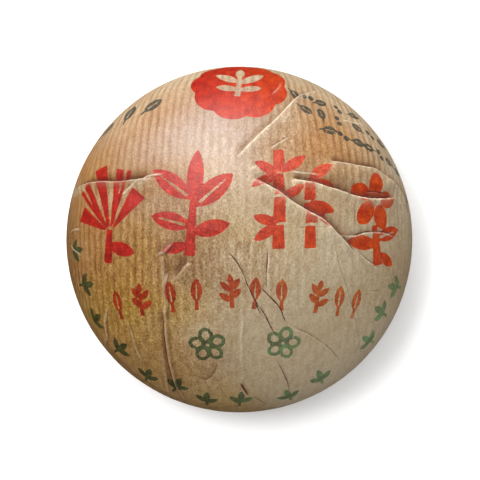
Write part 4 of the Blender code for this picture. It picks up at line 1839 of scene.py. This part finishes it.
@dataclass(frozen=True)
class FoldLines(Effect):
    """The thin dark line in a fold's valley, of soiling and painted shade, and the thin pale line
    on its edge, of rubbed paper and painted highlight, both uneven.

    Sizes are in millimetres. The lines' edges are given as where they end and where they are full.
    """

    name: str = "fold_lines"
    inputs: tuple[str, ...] = ("Side", "Edge", "Dark", "Pale")
    outputs: tuple[str, ...] = ("Dark", "Pale")
    waver: float = 0.5
    waver_size: float = 1.2
    break_size: float = 2.4
    dark_width: Pair = (0.13, 0.21)
    dark_core: float = 0.04
    pale_edge: Pair = (0.50, 0.08)

    def draw(self, bench: NodeBench, given: Outputs) -> dict[str, Socket]:
        """Lines at set distances from the fold, which waver and break.

        Args:
            bench: Where the nodes go.
            given: The effect's inputs by name.

        Returns:
            Its outputs by name.
        """
        place = given["Place"]
        waver = bench.noise(place, self.waver_size, 3.0, 0.6)
        waver = bench.line(waver, self.waver, -self.waver / 2)
        side = bench.math("ADD", given["Side"], waver)
        breaks = bench.noise(place, self.break_size, 3.0, 0.6)
        thinnest, thickening = self.dark_width
        width = bench.line(given["Dark"], thickening, thinnest)
        dark = bench.over(bench.math("ABSOLUTE", side), width, self.dark_core)
        kept = bench.line(bench.over(breaks, 0.30, 0.60), 0.6, 0.75)
        kept = bench.times(given["Dark"], kept)
        dark = bench.times(dark, kept, bounded=True)
        away = bench.math("ABSOLUTE", bench.math("SUBTRACT", side, given["Edge"]))
        kept = bench.line(bench.over(breaks, 0.62, 0.38), 0.75, 0.25)
        kept = bench.times(given["Pale"], kept)
        pale = bench.times(bench.over(away, *self.pale_edge), kept, bounded=True)
        return {"Dark": dark, "Pale": pale}


@dataclass(frozen=True)
class PrintedInk(Effect):
    """How much an ink covers the paper, from the distance to its edge. Sizes in millimetres."""

    name: str = "printed_ink"
    inputs: tuple[str, ...] = ("Distance", "Wear", "Thin")
    outputs: tuple[str, ...] = ("Cover",)
    raggedness: float = 0.30
    ragged_size: float = 0.7
    edge: Pair = (0.22, 0.08)
    spot_size: float = 0.5

    def draw(self, bench: NodeBench, given: Outputs) -> dict[str, Socket]:
        """A slightly ragged edge, thin spots, and bare paper where a fold has rubbed it.

        Args:
            bench: Where the nodes go.
            given: The effect's inputs by name.

        Returns:
            Its outputs by name.
        """
        place = given["Place"]
        ragged = bench.noise(place, self.ragged_size, 2.0)
        edge = bench.line(ragged, self.raggedness, given["Distance"])
        cover = bench.over(edge, *self.edge)
        spots = bench.noise(place, self.spot_size, 3.0, 0.7)
        thin = bench.times(given["Thin"], bench.over(spots, 0.40, 0.66))
        rubbed = bench.over(bench.line(spots, 0.9, given["Wear"]), 0.85, 1.35)
        left = bench.math("SUBTRACT", bench.math("SUBTRACT", 1.0, thin), rubbed, bounded=True)
        return {"Cover": bench.times(cover, left)}


@dataclass(frozen=True)
class InkTone:
    """One ink: its tones at the left and right of the print, its thin spots and how it covers."""

    ink: Ink
    left: Colour
    right: Colour
    thin: float
    cover: float


@dataclass(frozen=True)
class KraftPaper:
    """The finish: ribbed and creased brown paper with stains and faded printed ornament, and with
    painted shade and highlight at its folds and rims.
    """

    plain: Colour = (0.400, 0.290, 0.155)
    warm: Colour = (0.430, 0.218, 0.066)
    # The tea tone also darkens the bottom edge: painted shade.
    tea: Colour = (0.245, 0.118, 0.030)
    olive: Colour = (0.390, 0.238, 0.045)
    # The pale tone also lights facets beside the folds and the rims: painted highlight.
    pale: Colour = (0.600, 0.510, 0.360)
    grey: Colour = (0.460, 0.365, 0.235)
    rose: Colour = (0.368, 0.268, 0.216)
    tone_cover: float = 0.85
    clouding: float = 0.90
    rib: Colour = (0.67, 0.49, 0.37)
    fleck: Colour = (0.10, 0.055, 0.028)
    fleck_cover: float = 0.75
    blotches: tuple[Colour, Colour] = ((1.14, 1.16, 1.20), (0.78, 0.67, 0.52))
    mottle: tuple[Colour, Colour] = ((0.64, 0.58, 0.48), (1.34, 1.38, 1.46))
    # The smudge also darkens the bottom edge: painted shade.
    smudge: Colour = (0.66, 0.52, 0.38)
    # The next three colour the folds: the thin dark line and the valleys' brown bands are soiling
    # and painted shade, the raised edges rubbed paper and painted highlight.
    dirt_and_shade: Colour = (0.055, 0.008, 0.001)
    stain_and_shade: Colour = (0.46, 0.25, 0.12)
    worn_and_lit: Colour = (0.800, 0.700, 0.515)
    worn_and_lit_cover: float = 0.6
    inks: tuple[InkTone, ...] = (
        InkTone(Ink.RED, (0.360, 0.007, 0.001), (0.520, 0.044, 0.001), 0.02, 1.0),
        InkTone(Ink.ROW, (0.330, 0.018, 0.001), (0.430, 0.085, 0.012), 0.06, 0.98),
        InkTone(Ink.GREEN, (0.026, 0.052, 0.014), (0.120, 0.200, 0.085), 0.25, 0.94),
        InkTone(Ink.BLACK, (0.030, 0.040, 0.038), (0.030, 0.040, 0.038), 0.30, 0.96),
    )
    print_span: Pair = (-30.0, 45.0)
    pooled: tuple[Colour, Colour] = ((0.82, 0.68, 0.75), (1.10, 1.45, 1.25))
    roughness: float = 0.44
    mottle_roughness: float = 0.10
    ink_roughness: float = -0.03
    dark_line_roughness: float = 0.50
    gloss: float = 0.36
    relief: float = 0.00019
    mottle_height: float = 0.22
    rib_height: float = 0.30

    def material(self) -> bpy.types.Material:
        """Build the paper's material.

        Returns:
            The material.
        """
        paper = bpy.data.materials.new("printed_kraft_paper")
        paper.use_nodes = True
        bench = NodeBench(paper.node_tree)
        shader = paper.node_tree.nodes["Principled BSDF"]
        uv = bench.put("ShaderNodeUVMap", {}, uv_map="paper").outputs[0]
        size = PAPER_SPAN / MM
        inputs = {0: uv, 1: (size, size, 1.0), 2: (-size / 2, -size / 2, 0.0)}
        place = bench.put("ShaderNodeVectorMath", inputs, operation="MULTIPLY_ADD").outputs[0]
        given = {"Gathered": bench.note("gathered"), "Clear": bench.note(Tint.RIBBED.value)}
        ribs = PaperRibs().place(bench, {"Place": place, **given})
        fibre = PaperFibre().place(bench, {"Place": place})
        given = {name: bench.note(f"fold_{name.lower()}") for name in FoldLines.inputs}
        lines = FoldLines().place(bench, {"Place": place, **given})
        colour = self._paper_colour(bench, ribs, fibre)
        colour, cover = self._print(bench, place, colour, lines)
        colour = self._grained(bench, colour, fibre)
        colour = self._soiled_shaded_and_lit(bench, colour, fibre, lines)
        paper.node_tree.links.new(colour, shader.inputs["Base Color"])
        smoothest = self.roughness - self.mottle_roughness / 2
        rough = bench.line(fibre["Mottle"], self.mottle_roughness, smoothest)
        rough = bench.line(cover, self.ink_roughness, rough)
        rough = bench.line(lines["Dark"], self.dark_line_roughness, rough)
        paper.node_tree.links.new(rough, shader.inputs["Roughness"])
        shader.inputs["Specular IOR Level"].default_value = self.gloss
        ribbed = bench.times(ribs["Height"], self.rib_height)
        height = bench.line(fibre["Mottle"], self.mottle_height, ribbed)
        inputs = {"Strength": 1.0, "Distance": self.relief, "Height": height}
        bump = bench.put("ShaderNodeBump", inputs)
        paper.node_tree.links.new(bump.outputs[0], shader.inputs["Normal"])
        return paper

    def _paper_colour(self, bench: NodeBench, ribs: Outputs, fibre: Outputs) -> Socket:
        """The bare paper: its tones, ribs and flecks.

        Args:
            bench: Where the nodes go.
            ribs: What the ribs effect gives.
            fibre: What the fibre effect gives.

        Returns:
            The colour.
        """
        clouded = tuple(part * self.clouding for part in self.plain)
        colour = bench.mix(bench.over(fibre["Cloud"], 0.35, 0.7), self.plain, clouded)
        for tint in TONES:
            swing = bench.line(fibre["Cloud"], 0.9, -0.45)
            note = bench.note(tint.value)
            share = bench.math("ADD", note, bench.times(swing, note))
            cover = bench.times(share, self.tone_cover, bounded=True)
            colour = bench.mix(cover, colour, getattr(self, tint.value))
        colour = bench.mix(ribs["Streak"], colour, self.rib, "MULTIPLY")
        return bench.mix(bench.times(fibre["Fleck"], self.fleck_cover), colour, self.fleck)

    def _grained(self, bench: NodeBench, colour: Socket, fibre: Outputs) -> Socket:
        """Break a colour up with the paper's blotches, its fine mottle and its smudges.

        Args:
            bench: Where the nodes go.
            colour: The colour.
            fibre: What the fibre effect gives.

        Returns:
            The new colour.
        """
        strength = bench.note(Tint.GRAINY.value)
        for name, shades in (("Blotch", self.blotches), ("Mottle", self.mottle)):
            shade = bench.mix(fibre[name], *shades)
            colour = bench.mix(strength, colour, shade, "MULTIPLY")
        smudged = bench.times(fibre["Smudge"], bench.note(Tint.SMUDGED.value))
        return bench.mix(smudged, colour, self.smudge, "MULTIPLY")

    def _print(self, bench: NodeBench, place: Socket, colour: Socket,
               lines: Outputs) -> tuple[Socket, Socket]:
        """Lay the inks over the paper.

        Args:
            bench: Where the nodes go.
            place: The place on the flat paper.
            colour: The bare paper's colour.
            lines: What the fold lines effect gives.

        Returns:
            The colour, and how much of the paper is covered.
        """
        across = bench.put("ShaderNodeSeparateXYZ", {0: place}).outputs[0]
        rightward = bench.over(across, *self.print_span)
        wear = bench.line(lines["Pale"], 0.55, bench.note("wear"))
        pooled = bench.over(bench.noise(place, 3.4, 3.0, 0.6), 0.34, 0.68)
        covered = None
        for tone in self.inks:
            given = {"Distance": bench.note(tone.ink.value), "Wear": wear, "Thin": tone.thin}
            cover = PrintedInk().place(bench, {"Place": place, **given})[0]
            shade = bench.mix(rightward, tone.left, tone.right)
            shade = bench.mix(1.0, shade, bench.mix(pooled, *self.pooled), "MULTIPLY")
            cover = bench.times(cover, tone.cover)
            colour = bench.mix(cover, colour, shade)
            covered = cover if covered is None else bench.math("MAXIMUM", covered, cover)
        return colour, covered

    def _soiled_shaded_and_lit(self, bench: NodeBench, colour: Socket, fibre: Outputs, lines: Outputs) -> Socket:
        """Soiling and painted shade in the folds' valleys and beside them, and rubbed paper and
        painted highlight on their edges.

        Args:
            bench: Where the nodes go.
            colour: The printed paper's colour.
            fibre: What the fibre effect gives.
            lines: What the fold lines effect gives.

        Returns:
            The colour.
        """
        # The folds are darkened by soiling and painted shade and paled by rubbed paper and painted
        # highlight.
        uneven = bench.line(fibre["Mottle"], 0.7, 0.55)
        dirt_and_shade_share = bench.times(bench.note("grime"), uneven, bounded=True)
        stained_and_shaded = bench.mix(1.0, colour, self.stain_and_shade, "MULTIPLY")
        colour = bench.mix(dirt_and_shade_share, colour, stained_and_shaded)
        rubbed = bench.times(bench.note("wear"), uneven, bounded=True)
        colour = bench.mix(bench.times(rubbed, self.worn_and_lit_cover), colour, self.worn_and_lit)
        colour = bench.mix(lines["Pale"], colour, self.worn_and_lit)
        return bench.mix(lines["Dark"], colour, self.dirt_and_shade)


@dataclass(frozen=True)
class SoftBox:
    """A soft box that faces the cake.

    turn is its bearing in degrees, clockwise from +Y, rise its height above the horizon in
    degrees, distance how far it hangs from the cake and size its width and height, in metres,
    and power is in watts. A box that shines gives the paper its satin shine and doesn't light it.
    """

    name: str
    turn: float
    rise: float
    distance: float
    size: Pair
    power: float
    shines: bool = False

    def hang(self) -> bpy.types.Object:
        """Hang the box in its place.

        Returns:
            The light.
        """
        light = bpy.data.lights.new(self.name, "AREA")
        light.shape = "RECTANGLE"
        light.size, light.size_y = self.size
        light.energy = self.power
        lamp = bpy.data.objects.new(self.name, light)
        bpy.context.scene.collection.objects.link(lamp)
        bearing, lift = math.radians(self.turn), math.radians(self.rise)
        level = math.cos(lift)
        away = Vector((math.sin(bearing) * level, math.cos(bearing) * level, math.sin(lift)))
        middle_of_cake = Vector((0, 0, 0.03))
        lamp.location = middle_of_cake + away * self.distance
        lamp.rotation_mode = "QUATERNION"
        lamp.rotation_quaternion = away.to_track_quat("Z", "Y")
        lamp.visible_camera = False
        lamp.visible_glossy = self.shines
        lamp.visible_diffuse = not self.shines
        return lamp


@dataclass
class Studio:
    """A white floor, soft light from all round, soft boxes and the camera above.

    picture is half the width that the camera sees at the cake's widest ring, in millimetres.
    """

    floor_size: float = 6.0
    floor_drop: float = 0.00005
    floor_white: float = 0.97
    floor_bounce: float = 0.50
    floor_glow: float = 0.058
    overhead: float = 1.04
    horizon: float = 0.26
    back_glow: float = 1.00
    back_lean: Pair = (-0.12, 0.98)
    boxes: tuple[SoftBox, ...] = (
        SoftBox("shine_box", -17.0, 37.0, 0.9, (0.92, 0.74), 18.2, shines=True),
        SoftBox("back_box", -16.0, 21.0, 1.2, (1.0, 0.4), 10.0),
        SoftBox("key_box", -52.0, 66.0, 1.5, (0.5, 0.5), 4.0),
    )
    shadow_box: SoftBox = SoftBox("shadow_box", -74.0, 66.0, 1.5, (0.50, 0.50), 8.2)
    camera_place: Triple = (0.00022, -0.00019, ViewPlane.camera_height)
    camera_clip: Pair = (0.05, 50.0)
    sensor: float = 36.0
    picture: float = 74.96

    def build(self) -> None:
        """Set up the floor, the lights and the camera."""
        floor = self._floor()
        self._world()
        for box in self.boxes:
            box.hang()
        floor_only = bpy.data.collections.new("floor_only")
        floor_only.objects.link(floor)
        self.shadow_box.hang().light_linking.receiver_collection = floor_only
        self._camera()

    def _floor(self) -> bpy.types.Object:
        """A wide white floor that the cake stands on.

        Returns:
            The floor.
        """
        bpy.ops.object.select_all(action="DESELECT")
        place = (0, 0, -self.floor_drop)
        bpy.ops.mesh.primitive_plane_add(size=self.floor_size, location=place)
        floor = bpy.context.object
        floor.name = "floor"
        white = bpy.data.materials.new("floor_white")
        white.use_nodes = True
        shader = white.node_tree.nodes["Principled BSDF"]
        bench = NodeBench(white.node_tree)
        direct = bench.put("ShaderNodeLightPath", {}).outputs["Is Camera Ray"]
        shade = bench.mix(direct, (self.floor_bounce,) * 3, (self.floor_white,) * 3)
        white.node_tree.links.new(shade, shader.inputs["Base Color"])
        shader.inputs["Emission Color"].default_value = (1.0, 1.0, 1.0, 1.0)
        glow = bench.times(direct, self.floor_glow)
        white.node_tree.links.new(glow, shader.inputs["Emission Strength"])
        shader.inputs["Roughness"].default_value = 0.9
        shader.inputs["Specular IOR Level"].default_value = 0.1
        floor.data.materials.append(white)
        floor.visible_glossy = False
        bpy.ops.object.transform_apply(location=True)
        return floor

    def _world(self) -> None:
        """Soft white light from overhead and behind that falls off towards the horizon."""
        world = bpy.data.worlds.new("studio")
        world.use_nodes = True
        bench = NodeBench(world.node_tree)
        back = world.node_tree.nodes["Background"]
        back.inputs["Color"].default_value = (1.0, 1.0, 1.0, 1.0)
        direction = bench.put("ShaderNodeTexCoord", {}).outputs["Generated"]
        split = bench.put("ShaderNodeSeparateXYZ", {0: direction}).outputs
        raised = bench.over(split[2], 0.25, 0.95)
        strength = bench.line(raised, self.overhead - self.horizon, self.horizon)
        sideways, backward = self.back_lean
        turned = bench.line(split[0], sideways, bench.times(split[1], backward))
        strength = bench.line(bench.over(turned, 0.05, 0.95), self.back_glow, strength)
        world.node_tree.links.new(strength, back.inputs["Strength"])
        world.cycles_visibility.glossy = False
        bpy.context.scene.world = world

    def _camera(self) -> None:
        """A long lens straight above the cake, framed as in the photograph."""
        lens = bpy.data.cameras.new("camera")
        lens.sensor_width = self.sensor
        reach = self.camera_place[2] - WrapperProfile.widest_z
        lens.lens = self.sensor / 2 * reach / (self.picture * MM)
        lens.clip_start, lens.clip_end = self.camera_clip
        camera = bpy.data.objects.new("camera", lens)
        bpy.context.scene.collection.objects.link(camera)
        camera.location = self.camera_place
        bpy.context.scene.camera = camera


def main() -> None:
    """Build the wrapper and the studio."""
    logging.basicConfig(level=logging.INFO, format="%(name)s: %(message)s")
    wrapper = PaperWrapper().build(KraftPaper().material())
    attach(wrapper, "root")
    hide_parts(NODE)
    triangles = sum(len(face.vertices) - 2 for face in wrapper.data.polygons)
    log.info("%s: %d points, %d triangles", wrapper.name, len(wrapper.data.vertices), triangles)
    Studio().build()
    bpy.context.scene.view_settings.view_transform = "Standard"


if __name__ == "__main__":
    main()
